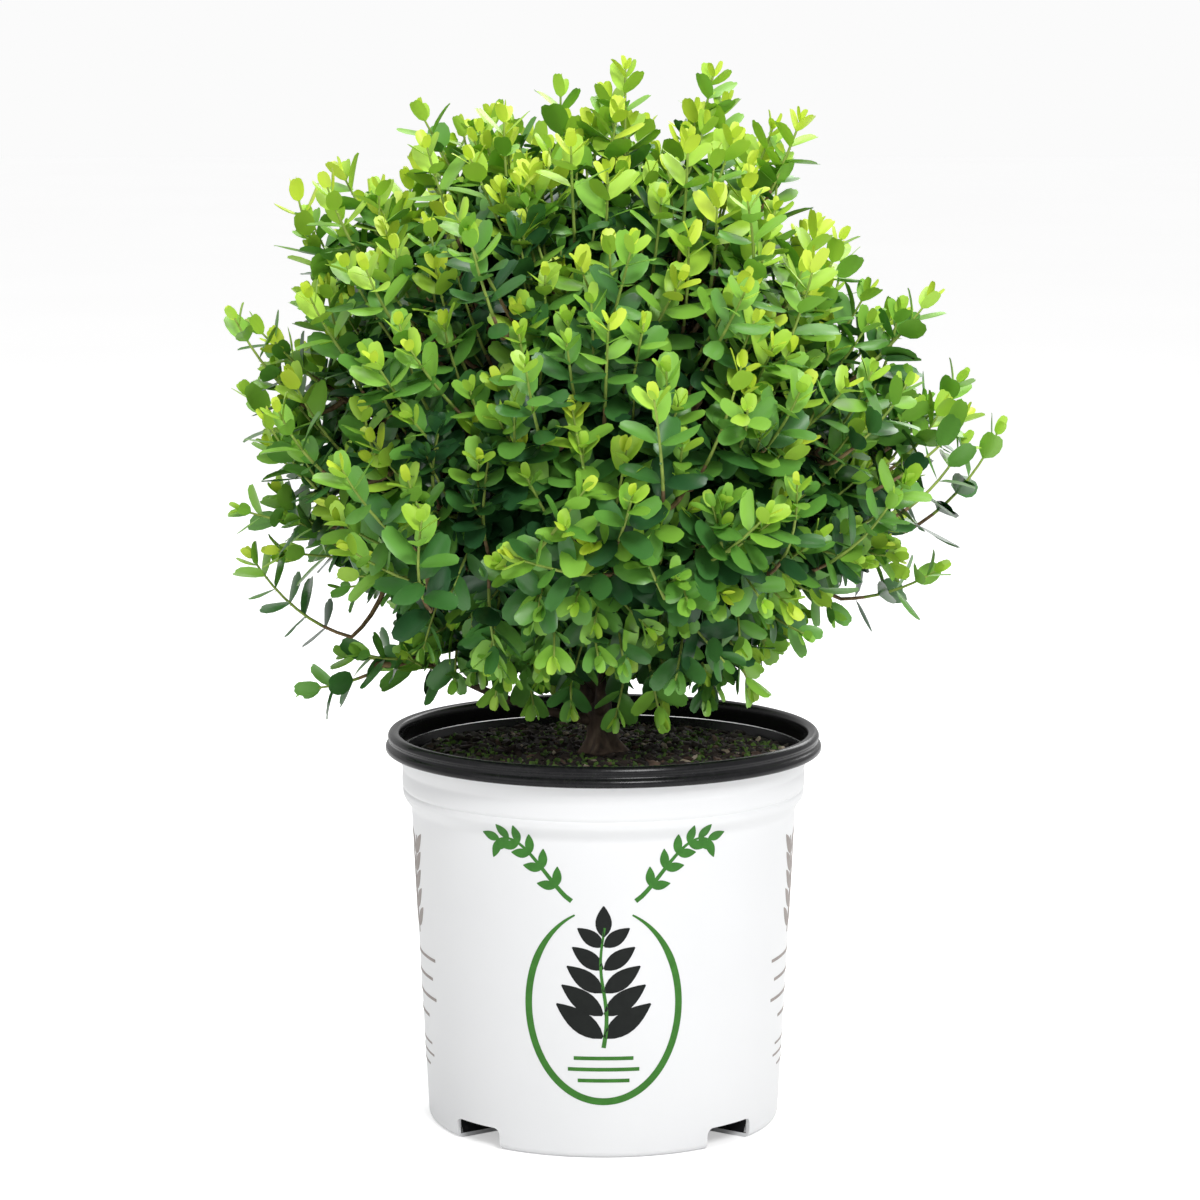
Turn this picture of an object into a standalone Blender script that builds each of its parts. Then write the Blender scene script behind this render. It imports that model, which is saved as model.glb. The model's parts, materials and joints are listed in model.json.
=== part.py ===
"""A potted boxwood: a dense rounded shrub in a white nursery pot, one object for each sub-part.

The origin is the centre of the pot's flat underside, +Z is up and the front of the pot faces -Y.
The crown is made of foliage masses. Each keeps to its own space, the part of the crown nearest to
its heart, and grows by one seeded rule: a stem from the tip of its bough, shoots that leave the
stem for tips spread evenly over the crown's outline, and leaves in crossed pairs along each shoot.
"""

import math
import random

import bmesh
import bpy
from mathutils import Matrix, Vector
from mathutils.bvhtree import BVHTree

# The pot: a tapering wall with a wider collar, under a black rolled rim
TURNED_SIDES = 36
POT_WALL = 0.0018
POT_FLOOR = 0.0022
BASE_RADIUS = 0.0912
BASE_ROUND = 0.0035
SHOULDER_RADIUS = 0.0994
SHOULDER_HEIGHT = 0.163
COLLAR_RADIUS = 0.1038
COLLAR_LOW = 0.172
COLLAR_HIGH = 0.184
FLARE_RADIUS = 0.1062
WALL_TOP = 0.1925
RIM_INNER_RADIUS = 0.1052
RIM_LIP_RADIUS = 0.1125
RIM_ROLL_RADIUS = 0.1117
RIM_GROOVE_RADIUS = 0.1108
RIM_TOP = 0.2035
GAP = 0.0003  # between one piece and the next

# Four drain channels run in from the foot of the wall, under housings raised from the floor
DRAINS = 4
DRAIN_FIRST_AZIMUTH = math.radians(45)
DRAIN_HALF_ANGLE = math.radians(9.8)
DRAIN_INNER_RADIUS = 0.062
DRAIN_HEIGHT = 0.011
HOUSING_REACH = 0.0903  # into the wall, and not through it
HOUSING_EXTRA_ANGLE = math.radians(1.2)

# The soil fills the pot and is flat where the trunk stands
SOIL_CLEARANCE = 0.0006
SOIL_EDGE_HEIGHT = 0.1885
SOIL_TOP = 0.1912
SOIL_FLAT_RADIUS = 0.022

# The trunk: flared at the soil, leaning a little, tapering up to the foot of the top mass
TRUNK_SIDES = 10
TRUNK_PATH = (
    (0.000, 0.000, SOIL_TOP + GAP),
    (-0.001, 0.001, 0.205),
    (-0.004, 0.003, 0.235),
    (-0.003, 0.003, 0.280),
    (0.002, 0.001, 0.325),
    (0.005, -0.002, 0.365),
    (0.004, 0.000, 0.400),
)
TRUNK_RADIUS = 0.0072
TRUNK_TIP_RADIUS = 0.0026
FLARE_EXTRA = 0.0062
FLARE_HEIGHT = 0.014
FLARE_LOBES = 5
FLARE_LOBE_DEPTH = 0.22

# Boughs: one for each mass, leaving the trunk one above another
BOUGH_SIDES = 5
BOUGH_RINGS = 6
BOUGH_TIP_RADIUS = 0.0017
BOUGH_SEAT = 0.12  # of its radius: extra room at the trunk, which leans
BOUGH_SHORT_OF_CORE = 0.007
FORK_HEIGHT = 0.300  # where the lines to the masses' hearts would meet

# The crown's outline: a superellipse about its centre, with its own sizes to each side
CROWN_CENTRE = Vector((0.0, 0.0, 0.360))
CROWN_LEFT = 0.188
CROWN_RIGHT = 0.181
CROWN_FRONT = 0.178
CROWN_UP = 0.185
CROWN_DOWN = 0.152
POWER_LEFT_UP, POWER_RIGHT_UP, POWER_FRONT_UP = 2.6, 1.7, 2.15
POWER_LEFT_DOWN, POWER_RIGHT_DOWN, POWER_FRONT_DOWN = 1.7, 1.85, 1.8
CROWN_FLOOR = 0.209  # nothing of the crown hangs lower, which keeps it clear of the rim

# Masses: rows of (name, how many, elevation of their hearts, azimuth of the first)
MASS_ROWS = (
    ("upper", 5, math.radians(48), math.radians(-90)),
    ("middle", 7, math.radians(12), math.radians(-64)),
    ("lower", 6, math.radians(-29), math.radians(-90)),
)
HEART_SHARE = 0.61  # of the way from the crown's centre to its outline
ROW_FORKS = {  # the lowest bough's height on the trunk, the pitch, how steeply they rise, their radius
    "upper": (0.305, 0.0095, 0.75, 0.0023),
    "middle": (0.250, 0.0075, 0.65, 0.0027),
    "lower": (0.2135, 0.0058, 0.30, 0.0030),
}
SPRIG_HEART = Vector((-0.118, -0.010, 0.2385))  # the long low sprig at the left
SPRIG_TIP = (-0.159, -0.012, 0.2255)
SPRIG_BOUGH_TIP = Vector((-0.085, -0.008, 0.2375))
SPRIG_FORK_HEIGHT = 0.2075
SPRIG_RISE = 0.35
SPRIG_BOUGH_RADIUS = 0.0026
CELL_MARGIN = 0.0006

# The furthest tips, which give the crown its uneven outline from the front
FURTHEST_TIPS = (
    (0.011, -0.010, 0.550),
    (0.058, 0.020, 0.547),
    (0.102, -0.012, 0.524),
    (-0.022, 0.030, 0.541),
    (-0.050, -0.025, 0.528),
    (-0.097, 0.010, 0.527),
    (-0.141, -0.030, 0.492),
    (-0.159, 0.022, 0.487),
    (-0.191, -0.010, 0.424),
    (-0.189, 0.030, 0.381),
    (-0.192, -0.020, 0.322),
    (-0.186, 0.012, 0.298),
    (0.170, -0.015, 0.434),
    (0.189, 0.024, 0.389),
    (0.205, -0.006, 0.366),
    (0.178, 0.000, 0.290),
    (0.121, -0.030, 0.261),
)

# Cores, shoots and leaves
CORE_RADIUS = 0.040
SPRIG_CORE_RADIUS = 0.010
CORE_SHARE = 0.86  # of the room that a mass has, so that leaves stand out of its core
CORE_REACH = 0.80  # of the way to the crown's outline
CORE_SUBDIVISIONS = 2
CORE_ROUGHNESS = 0.10
CORE_LEAST = 0.006
TIPS = 112
TIP_CANDIDATES = 24
TIP_LOWEST = -0.90  # as a sine: there are no tips straight down round the trunk
TIP_REACH = (0.93, 1.0)
SHOOT_SIDES = 3
SHOOT_RADIUS = 0.0020
SHOOT_TIP_RADIUS = 0.0012
STEM_RADIUS = 0.0026
STEM_SIDES = 5
SHOOT_UP = 0.80
SHOOT_OUT = 0.60
SHOOT_DROOP = 1.6  # the lower shoots rise less, and the lowest hang
SHOOT_START = 0.25  # of the way from the mass's heart
LEAF_LENGTH = 0.043
LEAF_WIDTH = 0.58  # of its length
LEAF_THICKNESS = 0.045  # of its length
LEAF_WIDEST = 0.56  # how far along the leaf
LEAF_ROOT = 0.0009  # how far its foot is sunk past the middle of its shoot
LEAF_PAIRS = ((0.86, 50.0, 0.95), (0.30, 66.0, 1.0))  # place on the shoot, angle, size
LEAF_SIZES = (0.88, 1.08)
LEAF_TRIES = 5
LEAF_SWING = 0.38
LEAF_SHORTENING = 0.05
LIMB_CLEARANCE = 0.0010
OUTLINE_SLACK = 1.005
SEED = 41


def material(name, colour, roughness, metallic=0.0):
    """A plain finish of one colour."""
    made = bpy.data.materials.new(name)
    made.use_nodes = True
    shader = made.node_tree.nodes["Principled BSDF"]
    shader.inputs["Base Color"].default_value = (*colour, 1.0)
    shader.inputs["Roughness"].default_value = roughness
    shader.inputs["Metallic"].default_value = metallic
    made.diffuse_color = (*colour, 1.0)
    return made


def add_object(name, mesh, finish=None, smooth=False):
    """An object in the scene that holds this mesh."""
    made = bpy.data.objects.new(name, mesh)
    bpy.context.scene.collection.objects.link(made)
    if finish:
        mesh.materials.clear()
        mesh.materials.append(finish)
    if smooth:
        mesh.shade_smooth()
        mesh.set_sharp_from_angle(angle=math.radians(35))
    return made


def mesh_of(name, bm):
    """A mesh from this bmesh, with its faces turned outwards."""
    bmesh.ops.recalc_face_normals(bm, faces=bm.faces)
    mesh = bpy.data.meshes.new(name)
    bm.to_mesh(mesh)
    bm.free()
    return mesh


def helper(made):
    """Marks a cutter or a joined piece, which isn't a part itself."""
    made.hide_render = True
    made.display_type = "WIRE"
    return made


def boolean(target, operation, collection):
    """Joins or cuts a collection's objects with the target."""
    modifier = target.modifiers.new(operation.title(), "BOOLEAN")
    modifier.operation = operation
    modifier.solver = "EXACT"
    modifier.operand_type = "COLLECTION"
    modifier.collection = collection


def turned(name, profile, closed):
    """A mesh turned about Z from (radius, height) points: a ring section, or a line from axis to axis."""
    bm = bmesh.new()
    rings = []
    for radius, height in profile:
        if radius == 0:
            rings.append([bm.verts.new((0.0, 0.0, height))] * TURNED_SIDES)
            continue
        angles = (2 * math.pi * k / TURNED_SIDES for k in range(TURNED_SIDES))
        rings.append([bm.verts.new((radius * math.cos(a), radius * math.sin(a), height)) for a in angles])
    pairs = list(zip(rings, rings[1:]))
    if closed:
        pairs.append((rings[-1], rings[0]))
    for low, high in pairs:
        for k in range(TURNED_SIDES):
            following = (k + 1) % TURNED_SIDES
            corners = dict.fromkeys((low[k], low[following], high[following], high[k]))
            bm.faces.new(list(corners))
    return mesh_of(name, bm)


def polar_block(name, inner, outer, half_angle, low, high, azimuth, steps=3):
    """A block between two radii, two heights and two azimuths."""
    bm = bmesh.new()
    arcs = []
    for radius in (inner, outer):
        for height in (low, high):
            arc = []
            for k in range(steps + 1):
                angle = azimuth + half_angle * (2 * k / steps - 1)
                arc.append(bm.verts.new((radius * math.cos(angle), radius * math.sin(angle), height)))
            arcs.append(arc)
    inner_low, inner_high, outer_low, outer_high = arcs
    loop = (inner_low, inner_high, outer_high, outer_low)
    for first, second in zip(loop, loop[1:] + loop[:1]):
        for k in range(steps):
            bm.faces.new((first[k], first[k + 1], second[k + 1], second[k]))
    for k in (0, steps):
        bm.faces.new([arc[k] for arc in loop])
    return mesh_of(name, bm)


def drain_blocks(name, inner, outer, extra_angle, low, high):
    """A collection of one block for each drain channel."""
    blocks = bpy.data.collections.new(name)
    bpy.context.scene.collection.children.link(blocks)
    for k in range(DRAINS):
        azimuth = DRAIN_FIRST_AZIMUTH + 2 * math.pi * k / DRAINS
        mesh = polar_block(name, inner, outer, DRAIN_HALF_ANGLE + extra_angle, low, high, azimuth)
        block = bpy.data.objects.new(f"{name}_{k + 1}", mesh)
        blocks.objects.link(helper(block))
    blocks.hide_render = True
    return blocks


def build_pot(finish):
    outside = (
        (0.0, 0.0),
        (BASE_RADIUS - BASE_ROUND, 0.0),
        (BASE_RADIUS - BASE_ROUND * 0.29, BASE_ROUND * 0.29),
        (BASE_RADIUS, BASE_ROUND),
        (SHOULDER_RADIUS, SHOULDER_HEIGHT),
        (COLLAR_RADIUS, COLLAR_LOW),
        (COLLAR_RADIUS, COLLAR_HIGH),
        (FLARE_RADIUS, WALL_TOP),
    )
    inside = (
        (FLARE_RADIUS - POT_WALL, WALL_TOP),
        (COLLAR_RADIUS - POT_WALL, COLLAR_HIGH),
        (COLLAR_RADIUS - POT_WALL, COLLAR_LOW + POT_WALL),
        (SHOULDER_RADIUS - POT_WALL, SHOULDER_HEIGHT + POT_WALL),
        (BASE_RADIUS - POT_WALL, BASE_ROUND),
        (BASE_RADIUS - BASE_ROUND, POT_FLOOR),
        (0.0, POT_FLOOR),
    )
    pot = add_object("pot", turned("pot", outside + inside, closed=False), finish, smooth=True)
    roof = DRAIN_HEIGHT + POT_WALL
    housings = drain_blocks(
        "housing", DRAIN_INNER_RADIUS - POT_WALL, HOUSING_REACH, HOUSING_EXTRA_ANGLE, POT_FLOOR / 2, roof
    )
    channels = drain_blocks("channel", DRAIN_INNER_RADIUS, BASE_RADIUS * 1.1, 0.0, -POT_FLOOR, DRAIN_HEIGHT)
    boolean(pot, "UNION", housings)
    boolean(pot, "DIFFERENCE", channels)


def build_rim(finish):
    low = WALL_TOP + GAP
    lip = low + 0.0033
    groove = low + 0.0060
    roll = low + 0.0080
    section = (
        (RIM_INNER_RADIUS, low),
        (RIM_LIP_RADIUS - 0.0020, low),
        (RIM_LIP_RADIUS, low + 0.0012),
        (RIM_LIP_RADIUS, lip),
        (RIM_GROOVE_RADIUS, groove),
        (RIM_ROLL_RADIUS, roll),
        (RIM_ROLL_RADIUS - 0.0018, RIM_TOP - 0.0004),
        (RIM_ROLL_RADIUS - 0.0040, RIM_TOP),
        (RIM_INNER_RADIUS + 0.0006, RIM_TOP - 0.0016),
    )
    add_object("pot_rim", turned("pot_rim", section, closed=True), finish, smooth=True)


def build_soil(finish):
    slack = POT_WALL + SOIL_CLEARANCE
    profile = (
        (0.0, POT_FLOOR + SOIL_CLEARANCE),
        (BASE_RADIUS - BASE_ROUND - SOIL_CLEARANCE, POT_FLOOR + SOIL_CLEARANCE),
        (BASE_RADIUS - slack, BASE_ROUND + SOIL_CLEARANCE),
        (SHOULDER_RADIUS - slack, SHOULDER_HEIGHT + POT_WALL),
        (COLLAR_RADIUS - slack, COLLAR_LOW + POT_WALL + SOIL_CLEARANCE),
        (COLLAR_RADIUS - slack, SOIL_EDGE_HEIGHT),
        (0.55 * COLLAR_RADIUS, (SOIL_EDGE_HEIGHT + SOIL_TOP) / 2),
        (SOIL_FLAT_RADIUS, SOIL_TOP),
        (0.0, SOIL_TOP),
    )
    soil = add_object("soil", turned("soil", profile, closed=False), finish, smooth=True)
    clear = SOIL_CLEARANCE
    hollows = drain_blocks(
        "hollow",
        DRAIN_INNER_RADIUS - POT_WALL - clear,
        BASE_RADIUS * 1.1,
        HOUSING_EXTRA_ANGLE + clear / DRAIN_INNER_RADIUS,
        0.0,
        DRAIN_HEIGHT + POT_WALL + clear,
    )
    boolean(soil, "DIFFERENCE", hollows)


def tube(bm, path, radii, sides, first_axis=None, lobes=None):
    """Adds a closed tapering tube. lobes(ring, angle) is a factor on the radius there."""
    points = [Vector(p) for p in path]
    axes = [(b - a).normalized() for a, b in zip(points, points[1:])]
    tangents = [first_axis or axes[0]]
    tangents += [(a + b).normalized() for a, b in zip(axes, axes[1:])]
    tangents.append(axes[-1])
    side = tangents[0].orthogonal().normalized()
    rings = []
    for index, (point, tangent, radius) in enumerate(zip(points, tangents, radii)):
        side = (side - tangent * side.dot(tangent)).normalized()
        across = tangent.cross(side)
        ring = []
        for k in range(sides):
            angle = 2 * math.pi * k / sides
            reach = radius * (lobes(index, angle) if lobes else 1.0)
            ring.append(bm.verts.new(point + reach * (math.cos(angle) * side + math.sin(angle) * across)))
        rings.append(ring)
    for low, high in zip(rings, rings[1:]):
        for k in range(sides):
            following = (k + 1) % sides
            bm.faces.new((low[k], low[following], high[following], high[k]))
    bm.faces.new(rings[0][::-1])
    bm.faces.new(rings[-1])


def trunk_rings():
    """(points, radii) up the trunk: the flare's rings, then one for each point of its path."""
    foot = Vector(TRUNK_PATH[0])
    points = [foot, foot + Vector((0, 0, FLARE_HEIGHT * 0.35))]
    points += [Vector(p) for p in TRUNK_PATH[1:]]
    radii = []
    for point in points:
        height = point.z - foot.z
        share = height / (TRUNK_PATH[-1][2] - foot.z)
        radius = TRUNK_RADIUS + (TRUNK_TIP_RADIUS - TRUNK_RADIUS) * share
        radii.append(radius + FLARE_EXTRA * max(0.0, 1 - height / FLARE_HEIGHT) ** 2)
    return points, radii


def trunk_at(height):
    """(middle, radius) of the trunk at a height."""
    points, radii = trunk_rings()
    for (low, r_low), (high, r_high) in zip(zip(points, radii), zip(points[1:], radii[1:])):
        if height <= high.z:
            share = (height - low.z) / (high.z - low.z)
            return low.lerp(high, share), r_low + (r_high - r_low) * share
    return points[-1], radii[-1]


def build_trunk(finish):
    points, radii = trunk_rings()

    def lobes(ring, angle):
        depth = FLARE_LOBE_DEPTH * max(0.0, 1 - ring / 3)
        return 1 + depth * math.cos(FLARE_LOBES * angle)

    bm = bmesh.new()
    tube(bm, points, radii, TRUNK_SIDES, first_axis=Vector((0, 0, 1)), lobes=lobes)
    add_object("trunk", mesh_of("trunk", bm), finish, smooth=True)
    return Limb(points, radii)


class Limb:
    """A tapering limb, as the points and radii that clearances are measured from."""

    def __init__(self, points, radii):
        self.points = points
        self.radii = radii

    def clear_of(self, start, end, radius):
        """Whether a round bar from start to end keeps its clearance from this limb."""
        for a, b, r in zip(self.points, self.points[1:], self.radii):
            if segment_distance(start, end, a, b) < r + radius + LIMB_CLEARANCE:
                return False
        return True


def segment_distance(p, q, a, b):
    """The least distance between segments pq and ab."""
    u, v, w = q - p, b - a, p - a
    uu, uv, vv, uw, vw = u.dot(u), u.dot(v), v.dot(v), u.dot(w), v.dot(w)
    spread = uu * vv - uv * uv
    s = min(1.0, max(0.0, (uv * vw - vv * uw) / spread)) if spread > 1e-14 else 0.0
    t = min(1.0, max(0.0, (uv * s + vw) / vv))
    s = min(1.0, max(0.0, (uv * t - uw) / uu)) if uu > 0 else 0.0
    return (w + u * s - v * t).length


def crown_reach(direction):
    """How far the crown's outline is from its centre, along a direction."""
    d = direction.normalized()
    flat = math.hypot(d.x, d.y)
    sideways = (d.x / flat) ** 2 if flat > 0 else 0.0
    up = d.z > 0
    left = d.x < 0
    side = CROWN_LEFT if left else CROWN_RIGHT
    if up:
        side_power, front_power = POWER_LEFT_UP if left else POWER_RIGHT_UP, POWER_FRONT_UP
    else:
        side_power, front_power = POWER_LEFT_DOWN if left else POWER_RIGHT_DOWN, POWER_FRONT_DOWN
    width = side * sideways + CROWN_FRONT * (1 - sideways)
    power = side_power * sideways + front_power * (1 - sideways)
    height = CROWN_UP if up else CROWN_DOWN
    return ((flat / width) ** power + (abs(d.z) / height) ** power) ** (-1 / power)


def toward(azimuth, elevation):
    flat = math.cos(elevation)
    return Vector((flat * math.cos(azimuth), flat * math.sin(azimuth), math.sin(elevation)))


class Mass:
    """A mass of foliage: its heart, what carries it, and the planes that bound its space."""

    def __init__(self, name, heart):
        self.name = name
        self.heart = heart
        self.walls = []
        self.foot = None  # where its stem starts, and the direction that it sets out in
        self.foot_axis = None
        self.tips = []
        self.is_sprig = name == "low_sprig"
        self.core_radius = SPRIG_CORE_RADIUS if self.is_sprig else CORE_RADIUS

    def stand_on(self, limb):
        """Starts the mass's stem just clear of this limb's end."""
        self.foot_axis = (limb.points[-1] - limb.points[-2]).normalized()
        self.foot = limb.points[-1] + self.foot_axis * GAP

    def stem(self):
        """The stem that runs from the mass's foot to its heart."""
        inner = self.foot.lerp(self.heart, 0.5)
        return Limb((self.foot, inner, self.heart), (BOUGH_TIP_RADIUS, STEM_RADIUS, STEM_RADIUS))

    def room(self, point):
        """How far inside the mass's space a point is."""
        return min((-normal.dot(point - place) for place, normal in self.walls), default=1.0)


def lay_out_masses():
    """Every mass, with the planes halfway to each other mass's heart as its walls."""
    masses = [Mass("top", CROWN_CENTRE + Vector((0.004, 0, HEART_SHARE * CROWN_UP)))]
    for row, count, elevation, first in MASS_ROWS:
        for k in range(count):
            direction = toward(first + 2 * math.pi * k / count, elevation)
            heart = CROWN_CENTRE + direction * crown_reach(direction) * HEART_SHARE
            masses.append(Mass(f"{row}_{k + 1}", heart))
    masses.append(Mass("low_sprig", SPRIG_HEART))
    for mass in masses:
        for other in masses:
            if other is not mass:
                middle = (mass.heart + other.heart) / 2
                mass.walls.append((middle, (other.heart - mass.heart).normalized()))
    return masses


def curve_points(start, lead, end, steps):
    """Points along the curve that leaves start by way of lead and ends at end."""
    points = []
    for k in range(steps):
        t = k / (steps - 1)
        points.append(start * (1 - t) ** 2 + lead * (2 * t * (1 - t)) + end * t**2)
    return points


def build_bough(mass, fork_height, rise, radius, tip, finish):
    """One tapering limb from the trunk's side to the foot of its mass."""
    middle, trunk_radius = trunk_at(fork_height)
    outward = Vector((tip.x - middle.x, tip.y - middle.y, 0)).normalized()
    start = middle + outward * (trunk_radius + GAP + BOUGH_SEAT * radius)
    span = math.hypot(tip.x - start.x, tip.y - start.y)
    lead = start + outward * span * (1 - rise) + Vector((0, 0, (tip.z - start.z) * rise))
    points = curve_points(start, lead, tip, BOUGH_RINGS)
    taper = (BOUGH_TIP_RADIUS - radius) / (BOUGH_RINGS - 1)
    radii = [radius + taper * k for k in range(BOUGH_RINGS)]
    bm = bmesh.new()
    tube(bm, points, radii, BOUGH_SIDES, first_axis=outward)
    add_object(f"bough_{mass.name}", mesh_of(f"bough_{mass.name}", bm), finish, smooth=True)
    limb = Limb(points, radii)
    mass.stand_on(limb)
    return limb


def build_boughs(masses, trunk, finish):
    """A bough for each mass but the top one, which the trunk carries. Returns every limb."""
    limbs = [trunk]
    by_name = {mass.name: mass for mass in masses}
    fork = Vector((0, 0, FORK_HEIGHT))
    for row, count, _, _ in MASS_ROWS:
        lowest, pitch, rise, radius = ROW_FORKS[row]
        step = 3 if count % 3 else 5  # so that neighbours fork far apart
        for k in range(count):
            mass = by_name[f"{row}_{k + 1}"]
            back = (fork - mass.heart).normalized() * (mass.core_radius + BOUGH_SHORT_OF_CORE)
            height = lowest + (k * step) % count * pitch
            limbs.append(build_bough(mass, height, rise, radius, mass.heart + back, finish))
    sprig = by_name["low_sprig"]
    limbs.append(
        build_bough(sprig, SPRIG_FORK_HEIGHT, SPRIG_RISE, SPRIG_BOUGH_RADIUS, SPRIG_BOUGH_TIP, finish)
    )
    by_name["top"].stand_on(trunk)
    return limbs


def spread_tips(masses):
    """Gives each mass its share of tips, spread evenly over the crown's outline by best candidate."""
    rng = random.Random(SEED)
    tips = [Vector(tip) for tip in FURTHEST_TIPS]
    taken = [(tip - CROWN_CENTRE).normalized() for tip in tips]
    while len(tips) < TIPS:
        best, best_gap = None, -1.0
        for _ in range(TIP_CANDIDATES):
            sine = rng.uniform(TIP_LOWEST, 1.0)
            direction = toward(rng.uniform(-math.pi, math.pi), math.asin(sine))
            gap = min((direction - other).length for other in taken)
            if gap > best_gap:
                best, best_gap = direction, gap
        taken.append(best)
        tips.append(CROWN_CENTRE + best * crown_reach(best) * rng.uniform(*TIP_REACH))
    for tip in tips:
        max(masses, key=lambda mass: mass.room(tip)).tips.append(tip)
    sprig = masses[-1]
    sprig.tips = [Vector(SPRIG_TIP)]


class Grower:
    """Collects the closed pieces of one mass, leaving out what would leave its space or touch a limb."""

    def __init__(self, mass, limbs):
        self.mass = mass
        self.limbs = limbs
        self.pieces = []
        self.leaf_trees = []
        self.furthest = 0.0  # from the crown's centre, for the leaves of the shoot in hand

    def fits(self, points, radius=0.0):
        for point in points:
            if self.mass.room(point) < CELL_MARGIN + radius or point.z < CROWN_FLOOR + radius:
                return False
        return True

    def clear(self, start, end, radius):
        return all(limb.clear_of(start, end, radius) for limb in self.limbs)

    def keep(self, bm):
        self.pieces.append(mesh_of("piece", bm))

    def add_core(self):
        """A rough ball that fills part of the mass's space."""
        rng = random.Random(f"{SEED} core {self.mass.name}")
        bm = bmesh.new()
        bmesh.ops.create_icosphere(bm, subdivisions=CORE_SUBDIVISIONS, radius=1.0)
        for vert in bm.verts:
            ray = vert.co.normalized()
            reach = self.mass.core_radius
            for place, normal in self.mass.walls:
                facing = normal.dot(ray)
                if facing > 0:
                    reach = min(reach, CORE_SHARE * normal.dot(place - self.mass.heart) / facing)
            reach *= 1 - CORE_ROUGHNESS * rng.random()
            while reach > CORE_LEAST and not self.core_point_fits(self.mass.heart + ray * reach):
                reach *= 0.94
            vert.co = self.mass.heart + ray * reach
        self.keep(bm)

    def core_point_fits(self, point):
        outward = point - CROWN_CENTRE
        inside = outward.length <= CORE_REACH * crown_reach(outward) or self.mass.is_sprig
        return inside and point.z > CROWN_FLOOR and self.clear(self.mass.heart, point, LIMB_CLEARANCE)

    def add_stem(self):
        stem = self.mass.stem()
        bm = bmesh.new()
        tube(bm, stem.points, stem.radii, STEM_SIDES, first_axis=self.mass.foot_axis)
        self.keep(bm)

    def add_leaf(self, root, axis, side, angle, length):
        """One leaf, flat across the shoot. Returns whether there was room for it."""
        along = axis * math.cos(angle) + side * math.sin(angle)
        across = axis.cross(side).normalized()
        upward = across.cross(along).normalized()
        foot = root - along * LEAF_ROOT
        tip = foot + along * length
        widest = foot + along * (length * LEAF_WIDEST)
        half = length * LEAF_WIDTH / 2
        thick = length * LEAF_THICKNESS / 2
        rim = (foot, widest + across * half, tip, widest - across * half)
        if max((point - CROWN_CENTRE).length for point in rim) > self.furthest:
            return False
        if not self.fits(rim) or not self.clear(root, tip, half):
            return False
        points = rim + (widest + upward * thick, widest - upward * thick)
        faces = [(k, (k + 1) % 4, pole) for pole in (4, 5) for k in range(4)]
        tree = BVHTree.FromPolygons(points, faces)
        if any(tree.overlap(other) for other in self.leaf_trees):
            return False
        self.leaf_trees.append(tree)
        bm = bmesh.new()
        corners = [bm.verts.new(point) for point in points]
        for face in faces:
            bm.faces.new([corners[k] for k in face])
        self.keep(bm)
        return True

    def try_leaf(self, root, axis, roll, angle, length):
        """A leaf, turned and shortened a little until it has room."""
        facing = axis.orthogonal().normalized()
        for attempt in range(LEAF_TRIES):
            swing = (attempt + 1) // 2 * (1 if attempt % 2 else -1) * LEAF_SWING
            side = Matrix.Rotation(roll + swing, 3, axis) @ facing
            if self.add_leaf(root, axis, side, angle, length * (1 - LEAF_SHORTENING * attempt)):
                return

    def add_shoot(self, tip, rng):
        """A shoot with crossed pairs of leaves and one leaf at its end, which reaches the tip."""
        heart = self.mass.heart
        outward = (tip - CROWN_CENTRE).normalized()
        lift = SHOOT_UP * (1 + SHOOT_DROOP * min(0.0, outward.z))
        axis = (outward * SHOOT_OUT + Vector((0, 0, lift))).normalized()
        self.furthest = OUTLINE_SLACK * max(crown_reach(outward), (tip - CROWN_CENTRE).length)
        length = LEAF_LENGTH * rng.uniform(*LEAF_SIZES)
        end = tip - axis * (length - LEAF_ROOT)
        if not self.fits((end,), SHOOT_RADIUS) or not self.fits((tip,)):
            axis = (tip - heart).normalized()
            end = tip - axis * (length - LEAF_ROOT)
        start = heart.lerp(end, SHOOT_START)
        lead = end - axis * (end - start).length * 0.5
        points = curve_points(start, lead, end, 3)
        bars = list(zip(points, points[1:]))
        if not self.fits(points, SHOOT_RADIUS) or not all(self.clear(a, b, SHOOT_RADIUS) for a, b in bars):
            return
        bm = bmesh.new()
        radii = (SHOOT_RADIUS, (SHOOT_RADIUS + SHOOT_TIP_RADIUS) / 2, SHOOT_TIP_RADIUS)
        tube(bm, points, radii, SHOOT_SIDES)
        self.keep(bm)
        roll = rng.uniform(0, math.pi)
        self.try_leaf(end, axis, roll, 0.0, length)
        for place, degrees, size in LEAF_PAIRS:
            roll += math.pi / 2
            root = points[1].lerp(points[2], place)
            for half_turn in (0.0, math.pi):
                self.try_leaf(root, axis, roll + half_turn, math.radians(degrees), length * size)


def largest_shell(mesh):
    """Keeps the outer skin, which fills any hollow that joining sealed, and drops loose scraps."""
    bm = bmesh.new()
    bm.from_mesh(mesh)
    bmesh.ops.triangulate(bm, faces=bm.faces)
    unseen = set(bm.faces)
    shells = []
    while unseen:
        shell = {unseen.pop()}
        edge_faces = list(shell)
        while edge_faces:
            for edge in edge_faces.pop().edges:
                for face in edge.link_faces:
                    if face in unseen:
                        unseen.discard(face)
                        shell.add(face)
                        edge_faces.append(face)
        shells.append(shell)
    keep = max(shells, key=len)
    bmesh.ops.delete(bm, geom=[face for face in bm.faces if face not in keep], context="FACES")
    bm.to_mesh(mesh)
    bm.free()


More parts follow.
